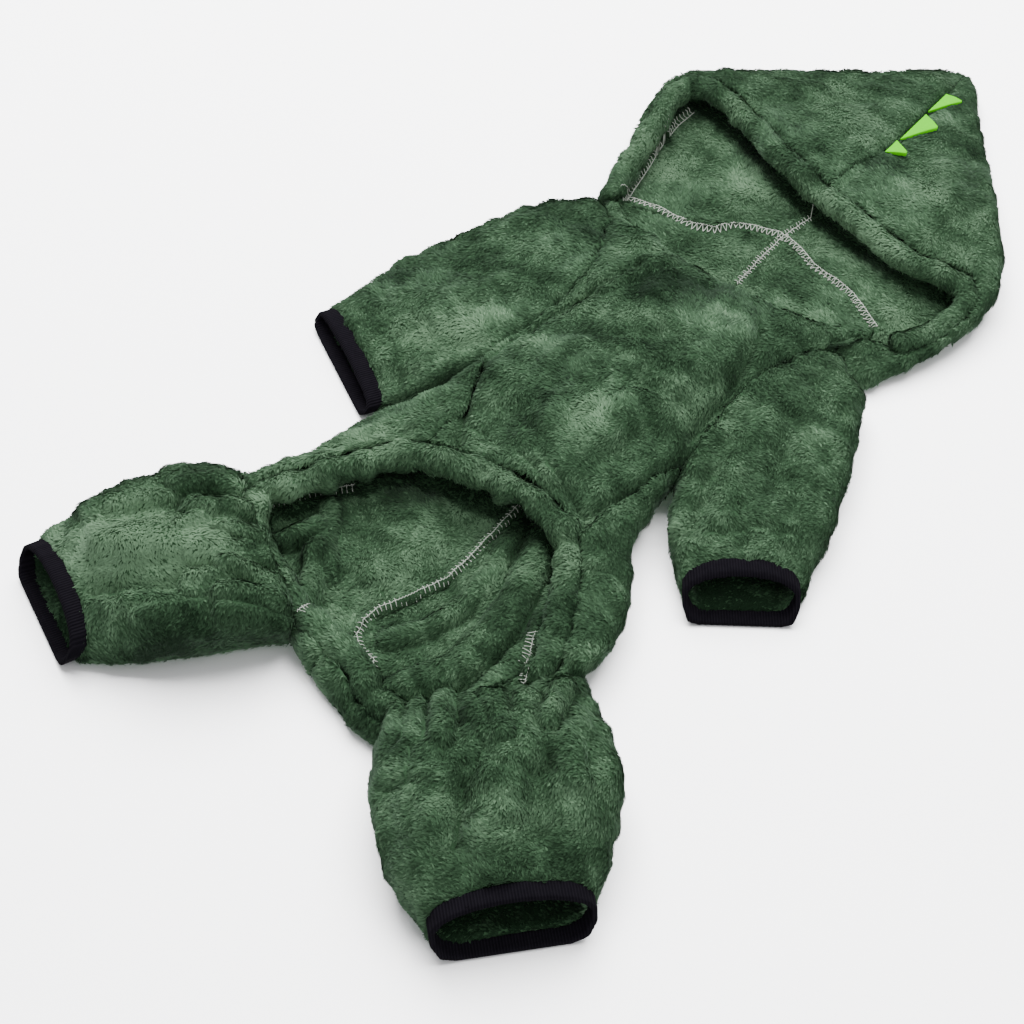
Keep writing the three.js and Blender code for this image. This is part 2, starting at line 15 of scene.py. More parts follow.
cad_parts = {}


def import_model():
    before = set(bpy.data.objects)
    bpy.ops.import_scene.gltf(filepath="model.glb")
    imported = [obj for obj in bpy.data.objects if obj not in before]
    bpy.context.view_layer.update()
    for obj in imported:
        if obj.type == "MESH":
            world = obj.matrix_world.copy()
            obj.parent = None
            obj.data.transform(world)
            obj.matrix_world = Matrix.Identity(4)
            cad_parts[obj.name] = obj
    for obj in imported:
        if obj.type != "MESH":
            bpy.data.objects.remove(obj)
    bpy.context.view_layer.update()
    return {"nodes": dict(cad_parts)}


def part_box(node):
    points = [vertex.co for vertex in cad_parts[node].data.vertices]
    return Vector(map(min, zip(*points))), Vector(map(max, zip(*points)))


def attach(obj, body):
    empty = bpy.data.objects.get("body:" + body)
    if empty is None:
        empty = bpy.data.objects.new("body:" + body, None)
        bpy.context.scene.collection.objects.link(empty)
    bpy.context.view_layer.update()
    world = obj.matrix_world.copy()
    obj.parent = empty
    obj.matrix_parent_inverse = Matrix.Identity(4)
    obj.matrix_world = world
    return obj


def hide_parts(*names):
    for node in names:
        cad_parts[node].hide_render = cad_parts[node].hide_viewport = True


logging.basicConfig(level=logging.INFO, format="%(message)s")
log = logging.getLogger("costume")

MM = 0.001

Place = tuple[float, float]
Span = tuple[float, float]
Colour = tuple[float, float, float]

# Where the lowest corner of the middle spike's box lies on the garment, in millimetres
SPIKE_CORNER = (20.55, 270.5)

# Tufts of pile on the whole garment
TUFTS = 360_000

# Height below which a tuft stands on the layer that lies on the table, in millimetres
TABLE_LAYER = 8.0

# Heights between which the upper layer's folds, the lower layer's and the ripples come in, in millimetres
UPPER_FOLDS = (4.5, 10.0)
LOWER_FOLDS = (1.6, 2.6)
LOWER_FOLDS_END = (6.0, 10.0)
RIPPLES = (1.5, 5.0)


class Slot(Enum):
    """Material slot names, which no piece in the script is given."""

    FLEECE = "plush_fleece"
    RIB = "rib_binding"
    FELT = "felt_spike"
    THREAD = "overlock_thread"


@dataclass(frozen=True)
class Fold:
    """A soft ridge, or with a rise below nought a trough, along a line on the garment, in millimetres."""

    x0: float
    y0: float
    x1: float
    y1: float
    width: float
    rise: float
    roundness: float = 0.85

    def at(self, places: np.ndarray) -> np.ndarray:
        """Height that the fold adds at each place.

        Args:
            places: Garment places, one a row.

        Returns:
            One height a place, in millimetres.
        """
        dx, dy = self.x1 - self.x0, self.y1 - self.y0
        along = (places[:, 0] - self.x0) * dx + (places[:, 1] - self.y0) * dy
        along = np.clip(along / max(dx * dx + dy * dy, 1e-6), 0, 1)
        away = np.hypot(places[:, 0] - self.x0 - along * dx, places[:, 1] - self.y0 - along * dy) / self.width
        if self.rise < 0:
            return self.rise * np.exp(-(away**2))
        return self.rise * np.clip(1 - (away / 1.35) ** 2, 0, 1) ** self.roundness


def chain(points: list[Place], width: float, rise: float, roundness: float = 0.85) -> list[Fold]:
    """A bent fold as short straight ones.

    Args:
        points: Places on the garment that the fold runs through.
        width: Half its width, in millimetres.
        rise: Its height, in millimetres.
        roundness: How softly its sides come up; a half is a round roll.

    Returns:
        One fold for each stretch.
    """
    return [Fold(*a, *b, width, rise, roundness) for a, b in zip(points, points[1:])]


def ruffle(line: list[Place], count: int, length: float, rise: float, seed: int) -> list[Fold]:
    """Short uneven rolls side by side across a line, as cloth gathers on elastic.

    Args:
        line: Places on the garment that the rolls cross.
        count: Number of rolls.
        length: How far each runs on, in millimetres.
        rise: Their height, in millimetres.
        seed: Seed of their unevenness.

    Returns:
        The rolls.
    """
    draw = np.random.default_rng(seed)
    path = np.array(line, float)
    reach = np.concatenate([[0], np.cumsum(np.hypot(*np.diff(path, axis=0).T))])
    rolls = []
    for i in range(count):
        s = reach[-1] * (i + 0.5 + draw.uniform(-0.18, 0.18)) / count
        x, y = (np.interp(s, reach, path[:, k]) for k in range(2))
        back, ahead = (np.array([np.interp(d, reach, path[:, k]) for k in range(2)]) for d in (s - 8, s + 8))
        turn = math.atan2(*(ahead - back)[::-1]) + math.pi / 2 + draw.uniform(-0.3, 0.3)
        far = length * draw.uniform(0.35, 0.65)
        near = length * draw.uniform(0.35, 0.65)
        cos, sin = math.cos(turn), math.sin(turn)
        ends = (x - near * cos, y - near * sin, x + far * cos, y + far * sin)
        width = reach[-1] / count * draw.uniform(0.34, 0.42)
        rolls.append(Fold(*ends, width, rise * draw.uniform(0.75, 1.2), 0.5))
    return rolls


def highest(folds: Sequence[Fold], places: np.ndarray) -> np.ndarray:
    """Height that a piece's folds add, taking the strongest ridge and the strongest trough at each place.

    Args:
        folds: The piece's folds.
        places: Garment places, one a row.

    Returns:
        One height a place, in millimetres.
    """
    up = np.zeros(len(places))
    down = np.zeros(len(places))
    for fold in folds:
        rise = fold.at(places)
        up = np.maximum(up, rise)
        down = np.minimum(down, rise)
    return up + down


class Wander:
    """A smooth seeded field over the garment, of about unit spread."""

    def __init__(self, seed: int, shortest: float, longest: float, waves: int = 18) -> None:
        """Draws the field's waves.

        Args:
            seed: Seed of the field.
            shortest: Shortest wavelength, in millimetres.
            longest: Longest wavelength, in millimetres.
            waves: Number of waves summed.
        """
        draw = np.random.default_rng(seed)
        length = draw.uniform(shortest, longest, waves)
        way = draw.normal(size=(waves, 3))
        way /= np.linalg.norm(way, axis=1)[:, None]
        self.ways = way * (2 * math.pi / length)[:, None]
        self.phases = draw.uniform(0, 2 * math.pi, waves)

    def at(self, places: np.ndarray) -> np.ndarray:
        """The field's value at each place.

        Args:
            places: Garment places, one a row.

        Returns:
            One value a place.
        """
        total = np.zeros(len(places))
        for way, phase in zip(self.ways, self.phases):
            total += np.sin(places @ way + phase)
        return total / math.sqrt(len(self.phases) / 2)


@dataclass(frozen=True)
class Layout:
    """Turns garment places, in millimetres, into the frame's metres and back."""

    shift: np.ndarray

    @classmethod
    def from_frame(cls) -> "Layout":
        """Reads the garment's place in the frame from the middle spike."""
        low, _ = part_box("spike_middle")
        return cls(np.array([low.x / MM - SPIKE_CORNER[0], low.y / MM - SPIKE_CORNER[1], 0.0]))

    def to_frame(self, places: np.ndarray) -> np.ndarray:
        """Garment places as frame ones.

        Args:
            places: Garment places in millimetres, one a row.

        Returns:
            Frame places in metres, one a row.
        """
        return (np.asarray(places, float) + self.shift) * MM

    def to_garment(self, places: np.ndarray) -> np.ndarray:
        """Frame places as garment ones.

        Args:
            places: Frame places in metres, one a row.

        Returns:
            Garment places in millimetres, one a row.
        """
        return np.asarray(places, float) / MM - self.shift


class Surface:
    """A material being made: its main shader, and the one method that its other nodes come from."""

    def __init__(self, name: str) -> None:
        """Starts the material.

        Args:
            name: Its name.
        """
        self.material = bpy.data.materials.new(name)
        self.material.use_nodes = True
        self.tree = self.material.node_tree
        self.shader = self.tree.nodes["Principled BSDF"]

    def node(self, kind: str, settings: dict, sockets: dict, output: int | str = 0) -> "Socket":
        """Adds a node with its settings and inputs.

        Args:
            kind: Node type.
            settings: Properties of the node.
            sockets: Values or sockets for its inputs, by name or number.
            output: Name or number of the output that is wanted.

        Returns:
            That output.
        """
        node = self.tree.nodes.new(kind)
        for name, value in settings.items():
            setattr(node, name, value)
        for name, value in sockets.items():
            self.feed(node.inputs[name], value)
        return Socket(self, node.outputs[output])

    def feed(self, entry: bpy.types.NodeSocket, value: "Socket | float | tuple") -> None:
        """Links a socket to an input, or sets the input's value.

        Args:
            entry: The input.
            value: Socket or value that it gets.
        """
        if isinstance(value, Socket):
            self.tree.links.new(value.source, entry)
        else:
            entry.default_value = value

    def paint(self, colour: "Socket") -> None:
        """Gives the main shader its colour."""
        self.feed(self.shader.inputs["Base Color"], colour)

    def blend(self, factor: "Socket", a: "Colour | Socket", b: Colour) -> "Socket":
        """A mix of two colours.

        Args:
            factor: How far from the first colour to the second.
            a: First colour.
            b: Second colour.

        Returns:
            The mixed colour.
        """
        first = a if isinstance(a, Socket) else (*a, 1.0)
        settings = {"data_type": "RGBA", "clamp_factor": True}
        return self.node("ShaderNodeMix", settings, {0: factor, 6: first, 7: (*b, 1.0)}, 2)

    def noise(self, scale: float, detail: float = 2.0) -> "Socket":
        """Noise over the object.

        Args:
            scale: Cycles a metre.
            detail: Detail of the noise.

        Returns:
            The noise's value.
        """
        place = self.node("ShaderNodeTexCoord", {}, {}, "Object")
        return self.node("ShaderNodeTexNoise", {}, {"Vector": place, "Scale": scale, "Detail": detail})

    def emboss(self, height: "Socket", depth: float) -> None:
        """Puts a bump on the main shader.

        Args:
            height: Height of the surface, nought to one.
            depth: Depth in metres.
        """
        bump = self.node("ShaderNodeBump", {}, {"Height": height, "Distance": depth, "Strength": 1.0})
        self.feed(self.shader.inputs["Normal"], bump)


class Socket:
    """A shader value with arithmetic on it."""

    def __init__(self, surface: Surface, source: bpy.types.NodeSocket) -> None:
        """Wraps a node's output."""
        self.surface = surface
        self.source = source

    def maths(self, operation: str, *values: "Socket | float") -> "Socket":
        """A Math node.

        Args:
            operation: The node's operation.
            values: Its operands in order.

        Returns:
            The result.
        """
        return self.surface.node("ShaderNodeMath", {"operation": operation}, dict(enumerate(values)))

    def __add__(self, other: "Socket | float") -> "Socket":
        """Sum."""
        return self.maths("ADD", self, other)

    def __radd__(self, other: float) -> "Socket":
        """Sum with a number on the left."""
        return self.maths("ADD", other, self)

    def __sub__(self, other: "Socket | float") -> "Socket":
        """Difference."""
        return self.maths("SUBTRACT", self, other)

    def __rsub__(self, other: float) -> "Socket":
        """Difference from a number on the left."""
        return self.maths("SUBTRACT", other, self)

    def __mul__(self, other: "Socket | float") -> "Socket":
        """Product."""
        return self.maths("MULTIPLY", self, other)

    def __rmul__(self, other: float) -> "Socket":
        """Product with a number on the left."""
        return self.maths("MULTIPLY", other, self)

    def sine(self) -> "Socket":
        """Sine of the value."""
        return self.maths("SINE", self)

    def clamp(self) -> "Socket":
        """The value held between nought and one."""
        return self.maths("MINIMUM", self.maths("MAXIMUM", self, 0.0), 1.0)


@dataclass(frozen=True)
class Finish:
    """Two mottled colours, how rough and soft the surface looks, and its fine relief in metres."""

    name: str
    dark: Colour
    light: Colour
    roughness: float = 0.9
    sheen: float = 0.0
    sheen_tint: Colour = (1.0, 1.0, 1.0)
    specular: float = 0.2
    mottle: float = 0.0
    detail: float = 2.0
    grain: float = 0.0
    relief: float = 0.0

    def begin(self) -> Surface:
        """Starts the material with its constant settings.

        Returns:
            The material under way.
        """
        surface = Surface(self.name)
        constants = {
            "Roughness": self.roughness,
            "Specular IOR Level": self.specular,
            "Sheen Weight": self.sheen,
            "Sheen Roughness": 0.5,
            "Sheen Tint": (*self.sheen_tint, 1.0),
        }
        for name, value in constants.items():
            surface.feed(surface.shader.inputs[name], value)
        return surface

    def make(self) -> bpy.types.Material:
        """Makes the material from its two colours.

        Returns:
            The material.
        """
        surface = self.begin()
        surface.paint(surface.blend(surface.noise(self.mottle, self.detail), self.dark, self.light))
        if self.relief:
            surface.emboss(surface.noise(self.grain), self.relief)
        return surface.material


@dataclass(frozen=True)
class PileFinish(Finish):
    """Tufts coloured by their own map: tone with painted sheen, light and shade across it, root to tip up it.
    """

    middle: Colour = (0.0, 0.0, 0.0)

    def make(self) -> bpy.types.Material:
        """Makes the material from the tufts' map.

        Returns:
            The material.
        """
        surface = self.begin()
        chart = surface.node("ShaderNodeUVMap", {"uv_map": "OFBake"}, {})
        shade = surface.node("ShaderNodeSeparateXYZ", {}, {0: chart})
        along = Socket(surface, shade.source.node.outputs[1])
        # Dark to middle to light across the map, whose value carries painted sheen, light and shade as well
        # as tone
        low = surface.blend((shade * 2.0).clamp(), self.dark, self.middle)
        nap = surface.blend((shade * 2.0 - 1.0).clamp(), low, self.light)
        sockets = {0: nap, "Scale": along * 0.35 + 0.75}
        surface.paint(surface.node("ShaderNodeVectorMath", {"operation": "SCALE"}, sockets))
        return surface.material


@dataclass(frozen=True)
class RibFinish(Finish):
    """Knitted rib whose cords cross the band, their pitch in millimetres."""

    pitch: float = 1.3

    def knit(self, way: Place) -> bpy.types.Material:
        """The rib's material.

        Args:
            way: Unit direction across the cords.

        Returns:
            The material.
        """
        surface = self.begin()
        sockets = {0: surface.node("ShaderNodeTexCoord", {}, {}, "Object"), 1: (*way, 0.0)}
        across = surface.node("ShaderNodeVectorMath", {"operation": "DOT_PRODUCT"}, sockets, "Value")
        cords = (across * (2 * math.pi / (self.pitch * MM))).sine() * 0.5 + 0.5
        wear = surface.noise(self.mottle, self.detail)
        # Painted shade in the grooves between the cords, the cords lighter, with random wear mixed in
        surface.paint(surface.blend((cords * 0.5 + wear * 0.6).clamp(), self.dark, self.light))
        surface.emboss(cords, self.relief)
        return surface.material


GROUND = Finish(
    "fleece_ground",
    (0.038, 0.090, 0.042),
    (0.058, 0.130, 0.062),
    mottle=45.0,
    detail=3.0,
    grain=900.0,
    relief=0.0006,
)
PILE = PileFinish(
    "fleece_pile",
    (0.009, 0.026, 0.011),
    (0.18, 0.31, 0.18),
    sheen=0.10,
    sheen_tint=(0.75, 1.0, 0.78),
    specular=0.1,
    middle=(0.060, 0.125, 0.064),
)
FELT = Finish(
    "lime_felt",
    (0.13, 0.86, 0.002),
    (0.18, 0.97, 0.006),
    roughness=0.95,
    specular=0.1,
    mottle=500.0,
    detail=4.0,
    grain=2200.0,
    relief=0.00025,
)
RIB = RibFinish(
    "black_rib",
    (0.004, 0.0035, 0.0055),
    (0.014, 0.012, 0.017),
    roughness=0.95,
    specular=0.05,
    mottle=300.0,
    detail=3.0,
    relief=0.0003,
)
THREAD = Finish("overlock_thread", (0.62, 0.66, 0.58), (0.82, 0.85, 0.78), roughness=0.7, mottle=1500.0)
TABLE = Finish("pale_table", (0.83, 0.83, 0.84), (0.86, 0.86, 0.87), roughness=0.6, mottle=3.0, detail=1.0)


def mesh_of(name: str, points: np.ndarray, faces: np.ndarray) -> bpy.types.Mesh:
    """A mesh from arrays, smooth shaded.

    Args:
        name: Its name.
        points: Places in metres, one a row.
        faces: Corner numbers, one face a row.

    Returns:
        The mesh.
    """
    mesh = bpy.data.meshes.new(name)
    corners = faces.shape[1]
    mesh.vertices.add(len(points))
    mesh.vertices.foreach_set("co", np.ascontiguousarray(points, np.float32).ravel())
    mesh.loops.add(faces.size)
    mesh.loops.foreach_set("vertex_index", np.ascontiguousarray(faces, np.int32).ravel())
    mesh.polygons.add(len(faces))
    mesh.polygons.foreach_set("loop_start", np.arange(0, faces.size, corners, dtype=np.int32))
    mesh.polygons.foreach_set("use_smooth", np.ones(len(faces), bool))
    mesh.update(calc_edges=True)
    return mesh


def object_of(name: str, mesh: bpy.types.Mesh, material: bpy.types.Material) -> bpy.types.Object:
    """An object for a mesh, in the scene.

    Args:
        name: Its name.
        mesh: Its mesh.
        material: Its material.

    Returns:
        The object.
    """
    mesh.name = name
    mesh.materials.clear()
    mesh.materials.append(material)
    thing = bpy.data.objects.new(name, mesh)
    bpy.context.scene.collection.objects.link(thing)
    return thing


def add_piece(
    name: str, mesh: bpy.types.Mesh, material: bpy.types.Material, node: str = ""
) -> bpy.types.Object:
    """A piece of the garment in the scene and the body that it rides.

    Args:
        name: Its name.
        mesh: Its mesh.
        material: Its material.
        node: CAD piece that it replaces, or nothing.

    Returns:
        The piece.
    """
    if node:
        mesh.polygons.foreach_set("use_smooth", np.ones(len(mesh.polygons), bool))
    thing = object_of(name, mesh, material)
    if node:
        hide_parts(node)
    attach(thing, "root")
    return thing


def read_points(mesh: bpy.types.Mesh) -> np.ndarray:
    """Reads a mesh's places.

    Args:
        mesh: The mesh.

    Returns:
        Its points, one a row.
    """
    points = np.empty(len(mesh.vertices) * 3, np.float32)
    mesh.vertices.foreach_get("co", points)
    return points.reshape(-1, 3).astype(float)


def read_normals(mesh: bpy.types.Mesh) -> np.ndarray:
    """Reads a mesh's smooth normals.

    Args:
        mesh: The mesh.

    Returns:
        The normals at its points, one a row.
    """
    normals = np.empty(len(mesh.vertices) * 3, np.float32)
    mesh.vertex_normals.foreach_get("vector", normals)
    return normals.reshape(-1, 3).astype(float)


def read_triangles(mesh: bpy.types.Mesh) -> np.ndarray:
    """Reads a mesh's triangles.

    Args:
        mesh: The mesh.

    Returns:
        Three point numbers a triangle, one triangle a row.
    """
    mesh.calc_loop_triangles()
    corners = np.empty(len(mesh.loop_triangles) * 3, np.int32)
    mesh.loop_triangles.foreach_get("vertices", corners)
    return corners.reshape(-1, 3)


def remeshed(source: bpy.types.Mesh, voxel: float) -> bpy.types.Mesh:
    """An even mesh over a closed one.

    Args:
        source: The closed mesh.
        voxel: Grid size in millimetres.

    Returns:
        A new mesh.
    """
    copy = source.copy()
    welded = bmesh.new()
    welded.from_mesh(copy)
    bmesh.ops.remove_doubles(welded, verts=welded.verts, dist=1e-6)
    welded.to_mesh(copy)
    welded.free()
    holder = bpy.data.objects.new("refining", copy)
    bpy.context.scene.collection.objects.link(holder)
    grid = holder.modifiers.new("grid", "REMESH")
    grid.mode = "VOXEL"
    grid.voxel_size = voxel * MM
    result = bpy.data.meshes.new_from_object(holder.evaluated_get(bpy.context.evaluated_depsgraph_get()))
    bpy.data.objects.remove(holder)
    bpy.data.meshes.remove(copy)
    return result


def thinned(source: bpy.types.Mesh, keep: float) -> bpy.types.Mesh:
    """A mesh with fewer faces.

    Args:
        source: The mesh.
        keep: Share of its faces to keep.

    Returns:
        A new mesh.
    """
    holder = bpy.data.objects.new("thinning", source)
    bpy.context.scene.collection.objects.link(holder)
    fewer = holder.modifiers.new("fewer", "DECIMATE")
    fewer.ratio = keep
    result = bpy.data.meshes.new_from_object(holder.evaluated_get(bpy.context.evaluated_depsgraph_get()))
    bpy.data.objects.remove(holder)
    return result


def relaxed(points: np.ndarray, edges: np.ndarray, passes: int, reach: float) -> np.ndarray:
    """Points drawn towards their neighbours without shrinking, none farther than a reach.

    Args:
        points: Places, one a row.
        edges: Pairs of point numbers.
        passes: Number of passes.
        reach: Farthest that a point moves, in the places' unit.

    Returns:
        The moved places.
    """
    a = np.concatenate([edges[:, 0], edges[:, 1]])
    b = np.concatenate([edges[:, 1], edges[:, 0]])
    count = np.maximum(np.bincount(a, minlength=len(points)), 1)
    moved = points.copy()
    for step in range(passes):
        mean = np.stack([np.bincount(a, moved[b, k], len(points)) for k in range(3)], 1) / count[:, None]
        moved += (0.55 if step % 2 == 0 else -0.56) * (mean - moved)
    shift = moved - points
    size = np.linalg.norm(shift, axis=1)
    return points + shift * np.minimum(1.0, reach / np.maximum(size, 1e-9))[:, None]


def softened(
    node: str, layout: Layout, voxel: float, passes: int, reach: float
) -> tuple[bpy.types.Mesh, np.ndarray, np.ndarray]:
    """An even mesh over a CAD piece, and where its points go when its edges are softened.

    Args:
        node: The CAD piece.
        layout: Where the garment lies in the frame.
        voxel: Grid size in millimetres.
        passes: Number of softening passes.
        reach: Farthest that a point moves, in millimetres.

    Returns:
        The mesh, its garment places as they are, and the softened ones.
    """
    mesh = remeshed(bpy.data.objects[node].data, voxel)
    edges = np.empty(len(mesh.edges) * 2, np.int32)
    mesh.edges.foreach_get("vertices", edges)
    points = layout.to_garment(read_points(mesh))
    return mesh, points, relaxed(points, edges.reshape(-1, 2), passes, reach)


def move_points(mesh: bpy.types.Mesh, layout: Layout, places: np.ndarray) -> None:
    """Moves a mesh's points.

    Args:
        mesh: The mesh.
        layout: Where the garment lies in the frame.
        places: Garment places that the points go to, one a row.
    """
    mesh.vertices.foreach_set("co", layout.to_frame(places).astype(np.float32).ravel())
    mesh.update()


def unit(rows: np.ndarray) -> np.ndarray:
    """Vectors at length one, one a row."""
    return rows / np.maximum(np.linalg.norm(rows, axis=1), 1e-9)[:, None]


def smoothstep(low: float, high: float, value: np.ndarray) -> np.ndarray:
    """A soft step from nought to one.

    Args:
        low: Where it starts.
        high: Where it ends.
        value: Values to step.

    Returns:
        The stepped values.
    """
    t = np.clip((value - low) / (high - low), 0, 1)
    return t * t * (3 - 2 * t)


# Where the hood's lower layer is tucked in under the brim, in millimetres: its edge, its two ends, its height
TUCK_EDGE = (76, 87)
TUCK_START = (138, 148)
TUCK_END = (250, 264)
TUCK_HEIGHT = 5.0

# Folds of each part of the garment, on its upper layer or on the layer that lies on the table
CHEST_TOP = [
    *chain([(-38, 100), (-48, 61), (-57, 29), (-64, 5), (-62, -6), (-51, -32), (-42, -49)], 3.0, -5.0),
    *chain([(38, 96), (44, 67), (45, 50), (45, 19), (51, 5)], 3.0, -5.0),
    *chain([(51, 5), (42, -24), (33, -50)], 3.0, -4.6),
    Fold(58, -4, 44, -44, 6, 3.6),
    Fold(4, -38, 35, -53, 2.6, -3.4),
    Fold(-48, -38, 0, -42, 3.0, -2.6),
    Fold(9, -38, 19, 15, 7, 3.2),
    Fold(-23, -39, -23, -30, 12, -4.0),
    Fold(-46, -6, -12, -16, 8, 3.0),
    Fold(-30, 20, 10, 44, 9, 2.6),
    Fold(-20, 4, 22, 30, 5, -2.6),
    Fold(24, 36, 34, 84, 7, 2.6),
    Fold(-6, 60, -22, 98, 6, 2.8),
    Fold(8, 66, 4, 104, 5, -2.6),
    Fold(-44, 76, -30, 112, 6, 2.6),
]
NECK_TOP = [
    *chain([(-78, 137), (-45, 122), (-15, 117), (6, 116), (37, 121), (64, 128), (84, 141)], 3.0, -1.4),
    Fold(-60, 138, -40, 118, 5, 1.6),
    Fold(30, 126, 56, 140, 5, 1.6),
]
SIDE_TOP = [
    Fold(-112, -110, -72, -66, 7, 2.0),
    Fold(-94, -82, -66, -48, 6, 2.0),
    Fold(-104, -96, -64, -56, 3.5, -1.6),
    Fold(-74, -58, -56, -22, 5, -1.4),
    Fold(66, -76, 76, -112, 7, 1.8),
    Fold(58, -52, 70, -86, 5, -1.4),
    Fold(52, -40, 66, -60, 5, 1.6),
]
BELLY_FLOOR = [
    *chain([(-6, -42), (-6, -62), (-6, -88), (-7, -104), (-12, -116), (-23, -138), (-24, -147)], 2.4, 3.6),
    *chain([(-24, -147), (-23, -154), (-16, -160), (-6, -162), (-2, -169), (2, -182)], 2.4, 3.2),
    *chain([(3, -68), (8, -91), (8, -112), (2, -131), (-8, -148)], 4.4, 4.6, 0.55),
    *chain([(17, -58), (27, -89), (31, -118), (27, -146), (13, -170)], 7.6, 8.5, 0.55),
    *chain([(41, -84), (48, -107), (49, -129), (45, -158)], 6.0, 8.0, 0.55),
    *chain([(-80, -104), (-68, -124), (-53, -136)], 4.5, 4.6, 0.6),
    *chain([(-85, -155), (-65, -164), (-46, -172)], 4.5, 7.5, 0.55),
    *chain([(-68, -128), (-58, -142), (-50, -157), (-45, -169)], 4.5, 8.0, 0.55),
    *chain([(-96, -148), (-84, -134), (-76, -118)], 4.5, 7.5, 0.55),
    *chain([(-34, -176), (-31, -160)], 4.5, 5.0, 0.6),
    Fold(-40, -84, -30, -116, 14, 2.4),
    Fold(-18, -176, -12, -170, 5, 3.5),
]
NECK_FLOOR = [
    *chain([(-87, 154), (-68, 160), (-52, 161), (-26, 176), (0, 184)], 2.6, 1.2),
    *chain([(0, 184), (24, 174), (52, 167), (76, 154)], 2.6, 1.2),
    *chain([(-2, 136), (-1, 160), (0, 184), (7, 217)], 2.4, 1.0),
    Fold(-66, 176, -30, 196, 10, 1.4),
    Fold(40, 178, 60, 188, 9, 1.2),
]
HOOD_TOP = [
    *chain([(14, 204), (17, 240), (19, 262), (20, 300), (20, 336)], 4, -2.0),
    Fold(-84, 246, -38, 282, 8, 1.4),
    Fold(-60, 244, -10, 290, 7, -1.2),
    Fold(-20, 240, 2, 300, 8, 1.2),
    Fold(40, 214, 34, 262, 8, -1.3),
    Fold(64, 210, 56, 262, 8, 1.4),
    Fold(86, 210, 76, 248, 7, -1.2),
    Fold(28, 290, 32, 322, 5, 1.0),
]
SLEEVE_LEFT_TOP = [
    Fold(-88, 126, -112, 78, 8, 1.8),
    Fold(-70, 96, -92, 30, 6, -1.8),
    Fold(-80, 70, -104, 16, 6, 1.8),
    Fold(-120, 70, -140, 26, 7, -1.4),
    Fold(-100, 40, -122, -8, 5, 1.6),
    Fold(-112, 4, -150, 16, 4, -1.2),
    Fold(-66, 20, -84, 4, 5, -1.6),
]
SLEEVE_RIGHT_TOP = [
    Fold(56, 96, 60, 60, 7, -1.6),
    Fold(66, 84, 78, 30, 8, 1.8),
    Fold(86, 88, 100, 50, 7, -1.2),
    Fold(60, 26, 70, -12, 5, -1.6),
    Fold(72, 20, 86, -20, 6, 1.6),
    Fold(100, 30, 112, -10, 6, -1.3),
    Fold(58, 6, 72, -32, 5, 1.8),
]
LEG_LEFT_TOP = [
    *ruffle([(-120, -120), (-104, -133), (-86, -152), (-66, -172), (-48, -192)], 8, 24, 7.5, 5),
    *ruffle([(-128, -138), (-110, -152), (-92, -170), (-74, -188)], 5, 18, 5.5, 6),
    Fold(-84, -192, -128, -224, 5, -4.0),
    Fold(-98, -176, -140, -206, 8, 3.0),
    *chain([(-104, -236), (-92, -230), (-78, -206)], 3.5, -3.4),
    Fold(-118, -160, -144, -188, 5, -3.4),
    Fold(-130, -166, -156, -190, 7, 2.6),
    Fold(-76, -206, -96, -226, 6, 2.8),
]
LEG_RIGHT_TOP = [
    *ruffle([(24, -194), (42, -186), (58, -174), (74, -158), (90, -146)], 7, 26, 7.5, 7),
    *ruffle([(36, -210), (54, -202), (72, -188), (92, -168), (108, -156)], 6, 18, 5.5, 8),
    *chain([(72, -170), (88, -166), (102, -166), (116, -176)], 5, 4.5, 0.55),
    Fold(73, -198, 94, -230, 3.5, -4.0),
    Fold(62, -196, 84, -232, 7, 3.0),
    Fold(88, -190, 114, -230, 8, 3.0),
    Fold(98, -180, 122, -212, 5, -3.2),
    Fold(50, -214, 70, -246, 5, -2.8),
    Fold(112, -176, 132, -200, 7, 2.6),
]

# Patches of painted light on the tufts, or with a rise below nought painted shade, from nought to one: on the
# upper layer, then on the layer that lies on the table
PAINTED_LIGHT_TOP = [
    Fold(-151, -203, -104, -173, 24, 0.48, 2.0),
    Fold(-130, -213, -105, -180, 16, 0.20, 2.0),
    Fold(-107, -242, -55, -198, 9, -0.20),
    Fold(-96, -104, -69, -61, 13, 0.26, 2.0),
    Fold(-101, -136, -76, -106, 9, 0.26, 2.0),
    Fold(-141, 32, -123, 77, 10, -0.20),
    Fold(-102, 102, -61, 117, 14, -0.28),
    Fold(-113, -4, -91, 17, 13, 0.26, 2.0),
    Fold(-95, 47, -82, 39, 9, -0.15),
    Fold(-136, 2, -98, -22, 4, -0.22),
    Fold(-22, 87, 20, 118, 18, -0.36),
    Fold(22, -5, 32, 6, 12, -0.20),
    Fold(-11, -9, -6, 19, 10, -0.12),
    Fold(-54, 107, -38, 121, 9, 0.20, 2.0),
    Fold(77, 61, 94, 57, 12, -0.25),
    Fold(92, 10, 96, 21, 10, -0.12),
    Fold(-46, 212, 67, 190, 9, 0.26, 2.0),
    Fold(20, 309, 36, 320, 10, -0.25),
    Fold(42, 279, 70, 213, 12, 0.20, 2.0),
    Fold(24, 246, 36, 245, 9, -0.20),
    Fold(62, -228, 73, -209, 12, -0.10),
    Fold(96, -196, 118, -186, 22, 0.12, 2.0),
    Fold(119, -223, 127, -206, 9, -0.18),
    Fold(84, -152, 112, -162, 8, -0.20),
    Fold(89, -250, 102, -227, 12, 0.12, 2.0),
    Fold(5, -50, 20, -70, 11, 0.16, 2.0),
    Fold(-95, -135, -85, -115, 12, 0.16, 2.0),
    Fold(5, -175, 20, -170, 14, 0.16, 2.0),
    Fold(-125, -205, -95, -190, 14, 0.10, 2.0),
    Fold(-50, 110, -35, 125, 12, 0.14, 2.0),
    Fold(-45, 210, 55, 195, 8, 0.10, 2.0),
    Fold(-125, 35, -70, 110, 12, -0.13),
    Fold(-35, 70, 25, 115, 11, -0.12),
    Fold(135, -215, 145, -205, 12, 0.12, 2.0),
]
